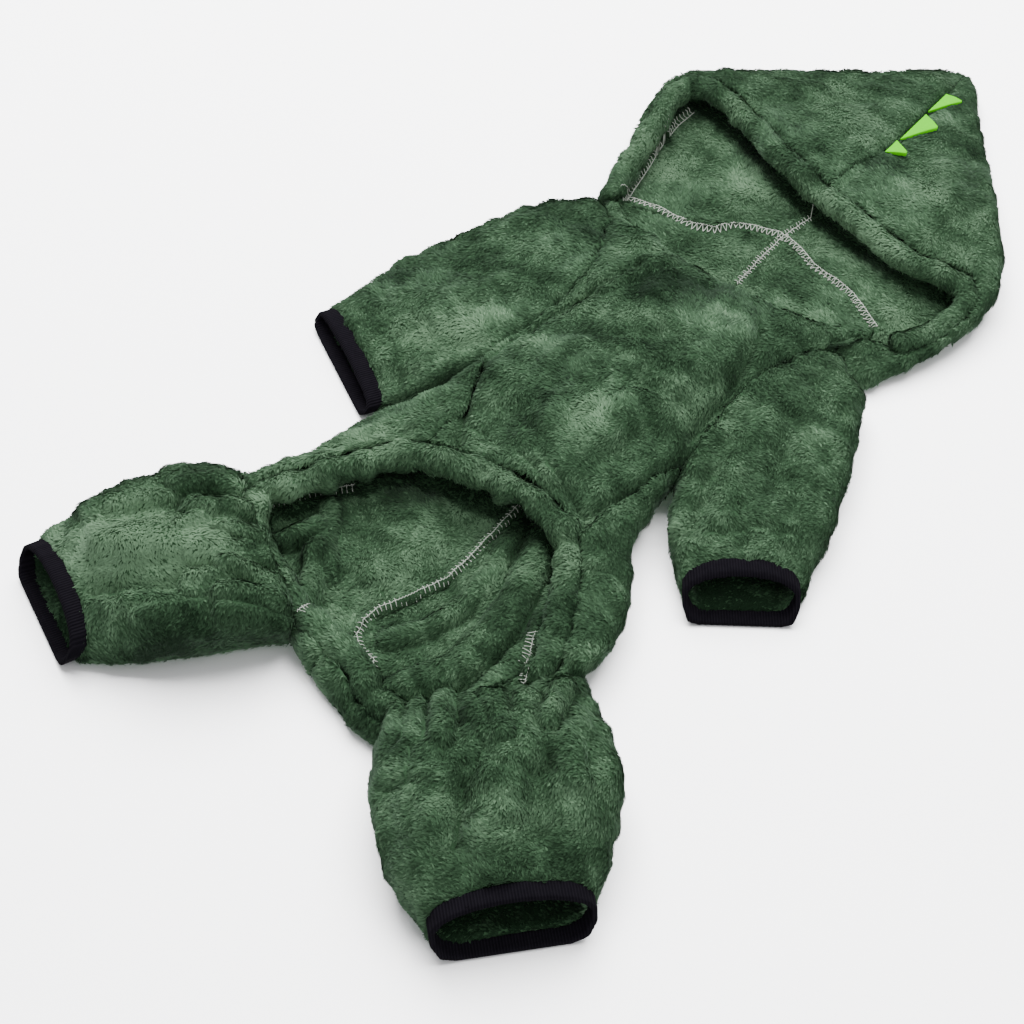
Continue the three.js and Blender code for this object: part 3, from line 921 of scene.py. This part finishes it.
PAINTED_LIGHT_FLOOR = [
    Fold(-72, 154, -18, 170, 9, -0.20),
    Fold(-22, -146, 10, -119, 9, -0.15),
    Fold(-23, -122, -33, -78, 14, 0.12, 2.0),
    Fold(-25, -85, 0, -55, 20, 0.10, 2.0),
    Fold(30, -115, 15, -95, 14, 0.08, 2.0),
    Fold(-60, 155, -20, 170, 10, -0.14),
    Fold(-35, -160, 5, -125, 11, -0.12),
]


@dataclass(frozen=True)
class Cuff:
    """The oblique open end of a sleeve or leg, in millimetres: its upper layer stops short of the lower."""

    x: float
    y: float
    way: Place
    height: float
    lean: float
    reach: float = 48.0
    lower_layer: float = 2.5
    # Inward reach over which the painted shade inside the open end fades, and the height below which it lies,
    # in millimetres
    shade: Span = (20.0, 34.0)
    shade_top: float = 9.0

    def slanted(self, places: np.ndarray) -> np.ndarray:
        """Draws the upper layer back from the end.

        Args:
            places: Garment places, one a row.

        Returns:
            The moved places.
        """
        way = np.array(self.way)
        inward = (np.array([self.x, self.y]) - places[:, :2]) @ way
        up = np.clip((places[:, 2] - self.lower_layer) / (self.height - self.lower_layer), 0, 1)
        share = (1 - smoothstep(0, self.reach, inward)) * up
        moved = places.copy()
        moved[:, :2] -= way * (self.lean * share)[:, None]
        return moved

    def inside(self, places: np.ndarray, normals: np.ndarray) -> np.ndarray:
        """How deep each place lies in the shade of the open end, on the lower layer's inner face: the reach
        of the shade painted on its tufts.

        Args:
            places: Garment places, one a row.
            normals: Their normals, one a row.

        Returns:
            One at the end, nought away from it.
        """
        inward = (np.array([self.x, self.y]) - places[:, :2]) @ np.array(self.way)
        return (1 - smoothstep(*self.shade, inward)) * (places[:, 2] < self.shade_top) * (normals[:, 2] > 0.2)


CUFFS = {
    "sleeve_front_left": Cuff(-130, -23, (-0.506, -0.862), 12.5, 7.0),
    "sleeve_front_right": Cuff(112, -36, (0.559, -0.829), 21.0, 17.0),
    "leg_hind_left": Cuff(-145, -226, (-0.447, -0.894), 27.0, 12.0),
    "leg_hind_right": Cuff(123, -232, (0.714, -0.700), 32.0, 8.0),
}


@dataclass(frozen=True)
class Panel:
    """What is known of one cloth piece: its cut in metres, its folds above and below, and its ripples."""

    node: str
    flat: Span
    share: float
    top: Sequence[Fold] = ()
    floor: Sequence[Fold] = ()
    ripple: float = 0.5
    tuck: float = 0.0
    swell: float = 0.5


PANELS = [
    Panel("back_left", (0.13, 0.38), 0.60, SIDE_TOP, BELLY_FLOOR + NECK_FLOOR),
    Panel("back_right", (0.13, 0.385), 0.57, SIDE_TOP, BELLY_FLOOR + NECK_FLOOR),
    Panel("chest_panel", (0.17, 0.205), 0.65, CHEST_TOP + NECK_TOP),
    Panel("belly_hem", (0.05, 0.46), 0.9, ripple=0.8, swell=1.4),
    Panel("hood_left", (0.16, 0.24), 0.68, HOOD_TOP, NECK_FLOOR, ripple=0.4, tuck=6.0),
    Panel("hood_right", (0.15, 0.25), 0.64, HOOD_TOP, NECK_FLOOR, ripple=0.4),
    Panel("hood_brim", (0.04, 0.36), 0.9, swell=0.9),
    Panel("sleeve_front_left", (0.24, 0.155), 0.71, SLEEVE_LEFT_TOP),
    Panel("sleeve_front_right", (0.23, 0.14), 0.69, SLEEVE_RIGHT_TOP),
    Panel("leg_hind_left", (0.26, 0.12), 0.79, LEG_LEFT_TOP),
    Panel("leg_hind_right", (0.27, 0.13), 0.81, LEG_RIGHT_TOP),
]


@dataclass
class Cloth:
    """A panel's fleece, in millimetres: an even skin over its CAD piece with folds and puckers in it."""

    panel: Panel
    layout: Layout
    voxel: float = 1.6
    keep: float = 0.42
    passes: int = 40
    reach: float = 0.65
    floor_skin: float = 0.8
    thing: bpy.types.Object = field(init=False)

    def build(self, material: bpy.types.Material) -> bpy.types.Object:
        """Builds the skin and dresses it.

        Args:
            material: Its material.

        Returns:
            The skin's object.
        """
        node = self.panel.node
        mesh, points, smooth = softened(node, self.layout, self.voxel, self.passes, self.reach)
        resting = points[:, 2] < self.floor_skin
        smooth[resting, 2] = points[resting, 2]
        move_points(mesh, self.layout, smooth)
        move_points(mesh, self.layout, self.shape(smooth, read_normals(mesh)))
        self.thing = add_piece(f"cloth_{node}", thinned(mesh, self.keep), material, node)
        return self.thing

    def shape(self, points: np.ndarray, normals: np.ndarray) -> np.ndarray:
        """Lays the folds and ripples into the skin, and tucks its edge under the brim.

        Args:
            points: Garment places, one a row.
            normals: Their normals, one a row.

        Returns:
            The shaped places.
        """
        height = points[:, 2]
        shaped = points.copy()
        shaped[:, 2] += highest(self.panel.top, points) * smoothstep(*UPPER_FOLDS, height)
        inner = (normals[:, 2] > 0.2) * smoothstep(*LOWER_FOLDS, height)
        inner *= 1 - smoothstep(*LOWER_FOLDS_END, height)
        shaped[:, 2] += highest(self.panel.floor, points) * inner
        ripple = Wander(11, 9.0, 22.0).at(points) * self.panel.ripple
        shaped += normals * (ripple * smoothstep(*RIPPLES, height) + self.panel.swell)[:, None]
        shaped[:, 0] -= self.tucked(points)
        shaped[:, 2] = np.maximum(shaped[:, 2], np.minimum(height, 0.05))
        cuff = CUFFS.get(self.panel.node)
        return cuff.slanted(shaped) if cuff else shaped

    def tucked(self, points: np.ndarray) -> np.ndarray:
        """How far the edge of the hood's lower layer goes in under the brim.

        Args:
            points: Garment places, one a row.

        Returns:
            One distance a place, in millimetres.
        """
        start = smoothstep(*TUCK_EDGE, -points[:, 0]) * smoothstep(*TUCK_START, points[:, 1])
        low = points[:, 2] < TUCK_HEIGHT
        return start * (1 - smoothstep(*TUCK_END, points[:, 1])) * low * self.panel.tuck


@dataclass
class Openness:
    """How much of the sky each place on the cloth sees past the rest of it, in metres."""

    tree: BVHTree
    lift: float = 0.0006
    reach: float = 0.12
    ways: list[Vector] = field(
        default_factory=lambda: [
            Vector((math.sin(a) * s, -math.cos(a) * s, c)).normalized()
            for a, s, c in [(0, 0, 1), (0.63, 0.62, 0.79), (2.2, 0.6, 0.8), (3.8, 0.6, 0.8), (5.3, 0.6, 0.8)]
        ]
    )

    def at(self, points: np.ndarray, normals: np.ndarray) -> tuple[np.ndarray, np.ndarray]:
        """Share of the ways up that are clear, and whether the one straight up is.

        Args:
            points: Frame places in metres, one a row.
            normals: Their normals, one a row.

        Returns:
            One share a place and one answer a place, nought to one.
        """
        clear = np.zeros((len(points), len(self.ways)))
        for i, (place, normal) in enumerate(zip(points, normals)):
            start = Vector(place + normal * self.lift)
            for k, way in enumerate(self.ways):
                clear[i, k] = self.tree.ray_cast(start, way, self.reach)[0] is None
        return clear.mean(axis=1), clear[:, 0]


@dataclass(frozen=True)
class Scatter:
    """Where tufts stand on a cloth and which way they lie, one a row."""

    corner: np.ndarray
    mix: np.ndarray
    root: np.ndarray
    normal: np.ndarray
    garment: np.ndarray
    nap: np.ndarray


@dataclass
class Pile:
    """Leaf-shaped tufts on one piece of cloth: their sizes in millimetres, their tone with painted sheen,
    light and shade from nought to one.
    """

    cloth: Cloth
    layout: Layout
    seams: np.ndarray
    length: float = 3.1
    width: float = 0.98
    lowest: float = 0.35
    spread: Span = (0.7, 1.25)
    steepness: Span = (0.12, 0.42)
    seam_groove: Span = (1.5, 3.4)
    seam_height: float = 12.0
    seam_trim: float = 0.72
    nap: float = 0.47
    # Painted light on the tufts of the layer that lies on the table
    table_layer_painted_light: float = 0.13
    # Painted shade on the tufts inside the open ends of sleeves and legs
    cuff_shade: float = 0.65
    speckle: float = 0.11
    points: np.ndarray = field(init=False)
    normals: np.ndarray = field(init=False)
    triangles: np.ndarray = field(init=False)
    weights: np.ndarray = field(init=False)
    # Shade painted on the tufts at each point of the cloth
    shade: np.ndarray = field(init=False)

    def weigh(self, open_sky: Openness) -> float:
        """Finds how densely each triangle of the cloth is tufted, and the shade painted on its tufts at each
        point.

        Args:
            open_sky: What each place sees of the sky.

        Returns:
            The sum of the weights.
        """
        mesh = self.cloth.thing.data
        self.points = read_points(mesh)
        self.normals = read_normals(mesh)
        self.triangles = read_triangles(mesh)
        a, b, c = (self.points[self.triangles[:, k]] for k in range(3))
        area = np.linalg.norm(np.cross(b - a, c - a), axis=1) / 2 / MM**2
        sky, overhead = open_sky.at(self.points, self.normals)
        nz = self.normals[:, 2]
        facing = np.where(nz > -0.35, 1.0, np.where(nz > -0.75, 0.45, 0.0))
        facing *= (self.points[:, 2] > 0.0012) | (nz > 0.3)
        dense = facing * (0.15 + 0.85 * smoothstep(0.0, 0.5, sky))
        self.weights = area * dense[self.triangles].mean(axis=1)
        # Painted shade: darker where the cloth sees little sky past the rest of it, darker still where it
        # faces up but is covered above
        self.shade = 0.25 * (1 - smoothstep(0.0, 0.7, sky)) + 0.5 * (1 - overhead) * (nz > 0)
        return float(self.weights.sum())

    def build(self, count: int, seed: int, material: bpy.types.Material) -> bpy.types.Object:
        """Builds the tufts.

        Args:
            count: Number of tufts.
            seed: Seed of their scatter.
            material: Their material.

        Returns:
            The tufts' object.
        """
        draw = np.random.default_rng(seed)
        tufts = self.scatter(count, draw)
        points = self.leaves(tufts, draw)
        start = np.arange(count)[:, None] * 4
        faces = np.concatenate([start + [[0, 1, 2]], start + [[1, 3, 2]]], 1).reshape(-1, 3)
        name = f"pile_{self.cloth.panel.node}"
        mesh = mesh_of(name, points.reshape(-1, 3), faces)
        chart = self.chart(tufts, draw)
        uv = mesh.uv_layers.new(name="OFBake")
        uv.data.foreach_set("uv", chart[faces.ravel()].astype(np.float32).ravel())
        soft = unit(tufts.normal * 0.75 + tufts.nap * 0.25 + draw.normal(0, 0.11, (count, 3)))
        mesh.normals_split_custom_set_from_vertices(np.repeat(soft, 4, axis=0))
        return add_piece(name, mesh, material)

    def scatter(self, count: int, draw: np.random.Generator) -> Scatter:
        """Picks where the tufts stand, and combs them.

        Args:
            count: Number of tufts.
            draw: Where the random numbers come from.

        Returns:
            The tufts' places and ways.
        """
        pick = draw.choice(len(self.triangles), count, p=self.weights / self.weights.sum())
        corner = self.triangles[pick]
        r1 = np.sqrt(draw.random(count))
        r2 = draw.random(count)
        mix = np.stack([1 - r1, r1 * (1 - r2), r1 * r2], 1)
        root = (self.points[corner] * mix[:, :, None]).sum(1)
        normal = unit((self.normals[corner] * mix[:, :, None]).sum(1))
        garment = self.layout.to_garment(root)
        turn = -math.pi / 2 + 0.95 * Wander(3, 50, 110).at(garment) + 0.45 * Wander(4, 12, 26).at(garment)
        turn += draw.normal(0, 0.38, count)
        nap = np.stack([np.cos(turn), np.sin(turn), np.full(count, -0.15)], 1)
        nap = unit(nap - normal * (nap * normal).sum(1)[:, None])
        return Scatter(corner, mix, root, normal, garment, nap)

    def leaves(self, tufts: Scatter, draw: np.random.Generator) -> np.ndarray:
        """The root, the left and right corners and the tip of each tuft.

        Args:
            tufts: The tufts' places and ways.
            draw: Where the random numbers come from.

        Returns:
            Four frame places a tuft, in metres.
        """
        count = len(tufts.root)
        length = self.length * draw.uniform(*self.spread, count) * MM
        width = self.width * draw.uniform(*self.spread, count) * MM / 2
        length *= 1 - self.seam_trim * self.near_seam(tufts.garment)
        steep = draw.uniform(*self.steepness, count)
        rise = tufts.normal * steep[:, None] + tufts.nap * np.sqrt(1 - steep**2)[:, None]
        middle = tufts.root + rise * (length * 0.5)[:, None]
        tip = middle + (tufts.normal * (steep * 0.35)[:, None] + tufts.nap) * (length * 0.5)[:, None]
        side = np.cross(tufts.normal, tufts.nap) * width[:, None]
        points = np.stack([tufts.root - tufts.normal * 0.3 * MM, middle - side, middle + side, tip], 1)
        points[:, :, 2] = np.maximum(points[:, :, 2], self.lowest * MM * np.array([1.0, 1.2, 1.2, 1.5]))
        return points

    def chart(self, tufts: Scatter, draw: np.random.Generator) -> np.ndarray:
        """Where each tuft's corners lie on the colour map: tone with painted sheen, light and shade across
        it, root to tip up it.

        Args:
            tufts: The tufts' places and ways.
            draw: Where the random numbers come from.

        Returns:
            Map places, four a tuft, one a row.
        """
        garment = tufts.garment
        low = garment[:, 2] <= TABLE_LAYER
        # Middle tone with random patches of painted sheen, as the nap's sheen comes and goes
        patch = self.nap + 0.12 * Wander(7, 26, 70).at(garment) + 0.07 * Wander(8, 9, 20).at(garment)
        # Painted light and shade on the upper layer's tufts
        patch += sum(fold.at(garment) for fold in PAINTED_LIGHT_TOP) * ~low
        # Painted light on the table layer's tufts, with its own patches of painted light and shade
        patch += (self.table_layer_painted_light + sum(fold.at(garment) for fold in PAINTED_LIGHT_FLOOR)) * low
        # Painted shade where the cloth sees little sky or is covered from above
        patch -= (self.shade[tufts.corner] * tufts.mix).sum(1)
        # Painted shade inside the open end
        if cuff := CUFFS.get(self.cloth.panel.node):
            patch -= self.cuff_shade * cuff.inside(garment, tufts.normal)
        patch = np.clip(patch + draw.normal(0, self.speckle, len(patch)), 0.02, 0.98)
        across = np.stack([patch, patch - 0.004, patch + 0.004, patch], 1)
        up = np.broadcast_to([0.02, 0.5, 0.5, 0.98], across.shape)
        return np.stack([across, up], 2).reshape(-1, 2)

    def near_seam(self, garment: np.ndarray) -> np.ndarray:
        """How near each tuft is to an overlocked seam on the floor layer.

        Args:
            garment: Garment places, one a row.

        Returns:
            One on the seam, nought away from it.
        """
        near = np.zeros(len(garment))
        for a, b in self.seams:
            way = b - a
            along = np.clip(((garment[:, :2] - a) @ way) / (way @ way), 0, 1)
            away = np.hypot(*(garment[:, :2] - a - along[:, None] * way).T)
            near = np.maximum(near, 1 - smoothstep(*self.seam_groove, away))
        return near * (garment[:, 2] < self.seam_height)


@dataclass(frozen=True)
class Seam:
    """An overlocked seam: its line on the garment and how its thread lies, in millimetres."""

    name: str
    line: Sequence[Place]
    drop_from: float
    slant: float
    chain_at: float
    pitch: float
    parts_pile: bool = False


BELLY_LINE = [
    (-6, -44), (-6, -62), (-6, -88), (-7, -104), (-12, -116), (-17, -127), (-23, -138),
    (-24, -147), (-22, -155), (-16, -160), (-6, -162), (-2, -169), (2, -181),
]
LEG_LEFT_LINE = [(-106, -124), (-102, -118), (-95, -108), (-88, -98), (-82, -91), (-78, -86)]
REAR_LINE = [(-44, -168), (-44, -160), (-43, -153)]
LEG_RIGHT_LINE = [(44, -108), (47, -115), (50, -121), (52, -128)]
LEG_END_LINE = [(58, -133), (60, -138), (62, -143)]
NECK_LINE = [
    (-85, 153), (-82, 160), (-68, 162), (-55, 162), (-44, 162), (-32, 167), (-26, 175), (-14, 181),
    (0, 184), (12, 181), (24, 174), (39, 171), (52, 168), (63, 161), (74, 154),
]
CENTRE_LINE = [(-1, 140), (-1, 160), (0, 184), (4, 202), (7, 212)]
BRIM_LINE = [(-85, 156), (-88, 174), (-91, 191), (-94, 205), (-96, 225), (-95, 241)]

SEAMS = [
    Seam("belly", BELLY_LINE, drop_from=13.0, slant=0.0, chain_at=0.0, pitch=2.5, parts_pile=True),
    Seam("leg_left", LEG_LEFT_LINE, drop_from=10.0, slant=0.0, chain_at=0.7, pitch=2.6),
    Seam("rear", REAR_LINE, drop_from=40.0, slant=0.4, chain_at=0.6, pitch=2.4),
    Seam("leg_right", LEG_RIGHT_LINE, drop_from=20.0, slant=0.4, chain_at=0.6, pitch=2.2),
    Seam("leg_end", LEG_END_LINE, drop_from=40.0, slant=0.4, chain_at=0.6, pitch=2.2),
    Seam("neck", NECK_LINE, drop_from=16.0, slant=0.9, chain_at=0.9, pitch=1.5, parts_pile=True),
    Seam("centre", CENTRE_LINE, drop_from=16.0, slant=0.3, chain_at=0.0, pitch=2.2, parts_pile=True),
    Seam("brim", BRIM_LINE, drop_from=40.0, slant=0.0, chain_at=-1.0, pitch=2.6),
]


@dataclass
class Stitching:
    """Overlock thread over a seam: a chain along it and bars across it, upright or leaning to and fro."""

    seam: Seam
    layout: Layout
    half_width: float = 2.1
    thickness: float = 0.2
    chain_step: float = 0.8
    chain_sway: float = 0.12
    chain_over: float = 0.75
    chain_climb: float = 40.0
    bar_over: float = 0.55
    bar_climb: float = 2.0
    line: np.ndarray = field(init=False)
    reach: np.ndarray = field(init=False)

    def __post_init__(self) -> None:
        """Measures the seam's line."""
        self.line = np.array(self.seam.line, float)
        self.reach = np.concatenate([[0], np.cumsum(np.hypot(*np.diff(self.line, axis=0).T))])

    def build(self, surface: BVHTree, material: bpy.types.Material) -> bpy.types.Object:
        """Builds the thread on the cloth.

        Args:
            surface: The cloth that it lies on.
            material: Its material.

        Returns:
            The thread's object.
        """
        seam = self.seam
        draw = np.random.default_rng(len(self.line))
        points, faces = [], []
        sway = (-self.chain_sway, self.chain_sway)
        run = enumerate(np.arange(0, self.reach[-1], self.chain_step))
        loops = [self.across(s, seam.chain_at + sway[i % 2]) for i, s in run]
        self.sweep(self.drop(loops, surface, self.chain_over, self.chain_climb), points, faces)
        for i in range(int(self.reach[-1] / seam.pitch)):
            s = (i + 0.5) * seam.pitch + draw.normal(0, 0.12)
            lean = seam.slant * (1 if i % 2 else -1) * seam.pitch / 2 + 0.25
            low, high = -1 + draw.normal(0, 0.08), 1 + draw.normal(0, 0.08)
            bar = [self.across(s + lean * t, low + (high - low) * (t + 1) / 2) for t in np.linspace(-1, 1, 7)]
            self.sweep(self.drop(bar, surface, self.bar_over, self.bar_climb), points, faces)
        name = f"stitches_{seam.name}"
        mesh = mesh_of(name, np.concatenate(points), np.concatenate(faces))
        return add_piece(name, mesh, material)

    def across(self, s: float, side: float) -> np.ndarray:
        """A place beside the seam.

        Args:
            s: Distance along the seam in millimetres.
            side: How far across it, in half widths.

        Returns:
            The place on the garment.
        """
        stations = (s, s + 3.0, s - 3.0)
        here, ahead, back = (
            np.array([np.interp(d, self.reach, self.line[:, k]) for k in range(2)]) for d in stations
        )
        way = (ahead - back) / max(np.hypot(*(ahead - back)), 1e-6)
        return here + np.array([-way[1], way[0]]) * self.half_width * side

    def drop(self, places: list[np.ndarray], surface: BVHTree, over: float, climb: float) -> np.ndarray:
        """Lays a run of thread on the cloth.

        Args:
            places: Places on the garment.
            surface: The cloth.
            over: Height above the cloth in millimetres.
            climb: How far the run may rise above its lowest place, in millimetres.

        Returns:
            Frame places in metres.
        """
        laid = []
        for place in places:
            x, y, _ = self.layout.to_frame(np.array([[place[0], place[1], 0.0]]))[0]
            hit = surface.ray_cast(Vector((x, y, self.seam.drop_from * MM)), Vector((0, 0, -1)))[0]
            height = hit.z if hit else 0.004
            laid.append([x, y, height + over * MM])
        laid = np.array(laid)
        laid[:, 2] = np.minimum(laid[:, 2], laid[:, 2].min() + climb * MM)
        return laid

    def sweep(self, places: np.ndarray, points: list[np.ndarray], faces: list[np.ndarray]) -> None:
        """Adds a thin tube along a run of thread.

        Args:
            places: Frame places in metres.
            points: Point arrays to add to.
            faces: Face arrays to add to.
        """
        sides = 5
        start = sum(len(p) for p in points)
        way = unit(np.gradient(places, axis=0))
        across = unit(np.cross(way, [0, 0, 1.0]))
        up = np.cross(across, way)
        angle = np.arange(sides) * 2 * math.pi / sides
        radius = self.thickness * MM
        ring = np.cos(angle)[None, :, None] * across[:, None] + np.sin(angle)[None, :, None] * up[:, None]
        points.append((places[:, None] + ring * radius).reshape(-1, 3))
        r = np.arange(len(places) - 1)[:, None] * sides
        s = np.arange(sides)[None, :]
        t = (s + 1) % sides
        quads = np.stack([r + s, r + t, r + sides + t, r + sides + s], -1).reshape(-1, 4)
        faces.append(quads + start)


@dataclass
class Binding:
    """A ribbed band at the end of a sleeve or leg, rounded at its edges, in millimetres."""

    node: str
    cuff: Cuff
    layout: Layout
    voxel: float = 0.75
    keep: float = 0.5
    passes: int = 24
    reach: float = 0.9

    def build(self) -> bpy.types.Object:
        """Builds the band over its CAD piece.

        Returns:
            The band's object.
        """
        mesh, _, smooth = softened(self.node, self.layout, self.voxel, self.passes, self.reach)
        smooth[:, 2] = np.maximum(smooth[:, 2], 0.0)
        move_points(mesh, self.layout, self.cuff.slanted(smooth))
        material = RIB.knit(self.across())
        return add_piece(f"rib_{self.node}", thinned(mesh, self.keep), material, self.node)

    def across(self) -> Place:
        """Finds the way along the band, across the rib's cords.

        Returns:
            The way, at length one.
        """
        low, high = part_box(self.node)
        way = np.array([high.x - low.x, high.y - low.y])
        if self.node.endswith("left"):
            way[0] = -way[0]
        return tuple(way / np.hypot(*way))


@dataclass
class Spike:
    """A felt spike with softened edges, in millimetres."""

    node: str
    layout: Layout
    voxel: float = 0.4
    passes: int = 8
    reach: float = 0.4

    def build(self, material: bpy.types.Material) -> bpy.types.Object:
        """Builds the spike over its CAD piece.

        Args:
            material: Its material.

        Returns:
            The spike's object.
        """
        mesh, _, smooth = softened(self.node, self.layout, self.voxel, self.passes, self.reach)
        move_points(mesh, self.layout, smooth)
        return add_piece(f"felt_{self.node}", mesh, material, self.node)


@dataclass(frozen=True)
class Lamp:
    """A square lamp: its place on the garment in millimetres, its side in metres and its power in watts."""

    name: str
    at: tuple[float, float, float]
    size: float
    power: float


WINDOW = Lamp("window", (-1000, 800, 1400), 1.0, 38.0)
FILL = Lamp("fill", (900, 300, 1300), 1.4, 7.0)
TABLE_LAMP = Lamp("table_lamp", (-700, 1300, 2400), 3.0, 700.0)


@dataclass
class Studio:
    """The table, the light and the camera, whose places are on the garment in millimetres."""

    layout: Layout
    camera_at: tuple[float, float, float] = (353.8, -550.6, 790.4)
    camera_aim: tuple[float, float, float] = (-8.1, -52.5, 2.4)
    lens: float = 72.7
    table_half: float = 3.0
    table_drop: float = 0.0002
    daylight: float = 0.75

    def build(self) -> None:
        """Builds the table, the light and the camera."""
        table = self.table()
        world = bpy.data.worlds.new("daylight")
        world.use_nodes = True
        background = world.node_tree.nodes["Background"]
        background.inputs[0].default_value = (0.98, 0.99, 1.0, 1.0)
        background.inputs[1].default_value = self.daylight
        bpy.context.scene.world = world
        for lamp in (WINDOW, FILL, TABLE_LAMP):
            self.lamp(lamp, table if lamp is TABLE_LAMP else None)
        self.camera()

    def table(self) -> bpy.types.Object:
        """Builds the pale table, which bounces no light onto the cloth.

        Returns:
            The table.
        """
        half, low = self.table_half, -self.table_drop
        corners = np.array([[-half, -half, low], [half, -half, low], [half, half, low], [-half, half, low]])
        table = object_of("table", mesh_of("table", corners, np.array([[0, 1, 2, 3]])), TABLE.make())
        table.visible_diffuse = False
        table.visible_glossy = False
        return table

    def aimed(self, name: str, data: bpy.types.ID, at: tuple[float, float, float]) -> bpy.types.Object:
        """A lamp or camera that points at the middle of the garment.

        Args:
            name: Its name.
            data: Its lamp or camera data.
            at: Its place on the garment, in millimetres.

        Returns:
            The object.
        """
        aim = Vector(self.layout.to_frame(np.array([self.camera_aim]))[0])
        thing = bpy.data.objects.new(name, data)
        thing.location = self.layout.to_frame(np.array([at]))[0]
        thing.rotation_euler = (aim - thing.location).to_track_quat("-Z", "Y").to_euler()
        bpy.context.scene.collection.objects.link(thing)
        return thing

    def lamp(self, lamp: Lamp, only: bpy.types.Object | None) -> None:
        """Adds a lamp.

        Args:
            lamp: Its place, size and power.
            only: The one object that it lights, or nothing where it lights everything.
        """
        data = bpy.data.lights.new(lamp.name, "AREA")
        data.size = lamp.size
        data.energy = lamp.power
        thing = self.aimed(lamp.name, data, lamp.at)
        if only:
            lit = bpy.data.collections.new(f"lit_by_{lamp.name}")
            lit.objects.link(only)
            thing.light_linking.receiver_collection = lit

    def camera(self) -> None:
        """Adds the camera where the photograph was taken from."""
        data = bpy.data.cameras.new("camera")
        data.lens = self.lens
        data.sensor_width = 36.0
        data.clip_start = 0.01
        data.clip_end = 20.0
        bpy.context.scene.camera = self.aimed("camera", data, self.camera_at)


def surface_of(things: list[bpy.types.Object]) -> BVHTree:
    """One search tree over several objects' meshes.

    Args:
        things: The objects.

    Returns:
        The tree.
    """
    points, faces, start = [], [], 0
    for thing in things:
        here = read_points(thing.data)
        points.append(here)
        faces.append(read_triangles(thing.data) + start)
        start += len(here)
    return BVHTree.FromPolygons(np.concatenate(points).tolist(), np.concatenate(faces).tolist())


def parted_pile() -> np.ndarray:
    """The seams that part the pile, as pairs of places."""
    lines = [seam.line for seam in SEAMS if seam.parts_pile]
    return np.array([pair for line in lines for pair in zip(line, line[1:])], float)


def declare(cloths: list[Cloth]) -> None:
    """Works out each sheet's cut area, and keeps nothing of it.

    Args:
        cloths: The fleece pieces.
    """
    for cloth in cloths:
        node = cloth.panel.node
        if node in ("belly_hem", "hood_brim"):
            continue
        width, length = cloth.panel.flat
        cloth.panel.share * width * length


def main() -> None:
    """Builds the costume in order."""
    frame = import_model()
    layout = Layout.from_frame()
    Studio(layout).build()

    ground = GROUND.make()
    cloths = []
    for panel in PANELS:
        cloth = Cloth(panel, layout)
        cloth.build(ground)
        cloths.append(cloth)
        log.info("%s: %d faces", panel.node, len(cloth.thing.data.polygons))
    surface = surface_of([cloth.thing for cloth in cloths])
    open_sky = Openness(surface)

    tufts = PILE.make()
    seams = parted_pile()
    piles = [Pile(cloth, layout, seams) for cloth in cloths]
    total = sum(pile.weigh(open_sky) for pile in piles)
    made = {}
    for number, pile in enumerate(piles):
        count = int(TUFTS * pile.weights.sum() / total)
        made[pile.cloth.panel.node] = pile.build(count, 100 + number, tufts)
        log.info("pile on %s: %d tufts", pile.cloth.panel.node, count)

    thread = THREAD.make()
    stitches = {seam.name: Stitching(seam, layout).build(surface, thread) for seam in SEAMS}
    log.info("stitches: %s", ", ".join(stitches))

    ribs = {}
    for node, cuff in CUFFS.items():
        ribs[node] = Binding(f"binding_{node}", cuff, layout).build()
        log.info("binding of %s", node)
    felt = FELT.make()
    spikes = [Spike(node, layout).build(felt) for node in ("spike_lower", "spike_middle", "spike_upper")]
    log.info("spikes: %d", len(spikes))

    by_node = {cloth.panel.node: cloth.thing for cloth in cloths}
    extras = {node: [rib] for node, rib in ribs.items()}
    inside = [stitches[name] for name in ("belly", "leg_left", "rear", "leg_right", "leg_end")]
    extras["back_left"] = [by_node["belly_hem"], made["belly_hem"], *inside]
    extras["hood_left"] = [by_node["hood_brim"], made["hood_brim"], stitches["neck"], stitches["brim"]]
    extras["hood_right"] = [stitches["centre"], *spikes]
    declare(cloths)

    log.info("pieces in the frame: %d", len(frame["nodes"]))


if __name__ == "__main__":
    main()
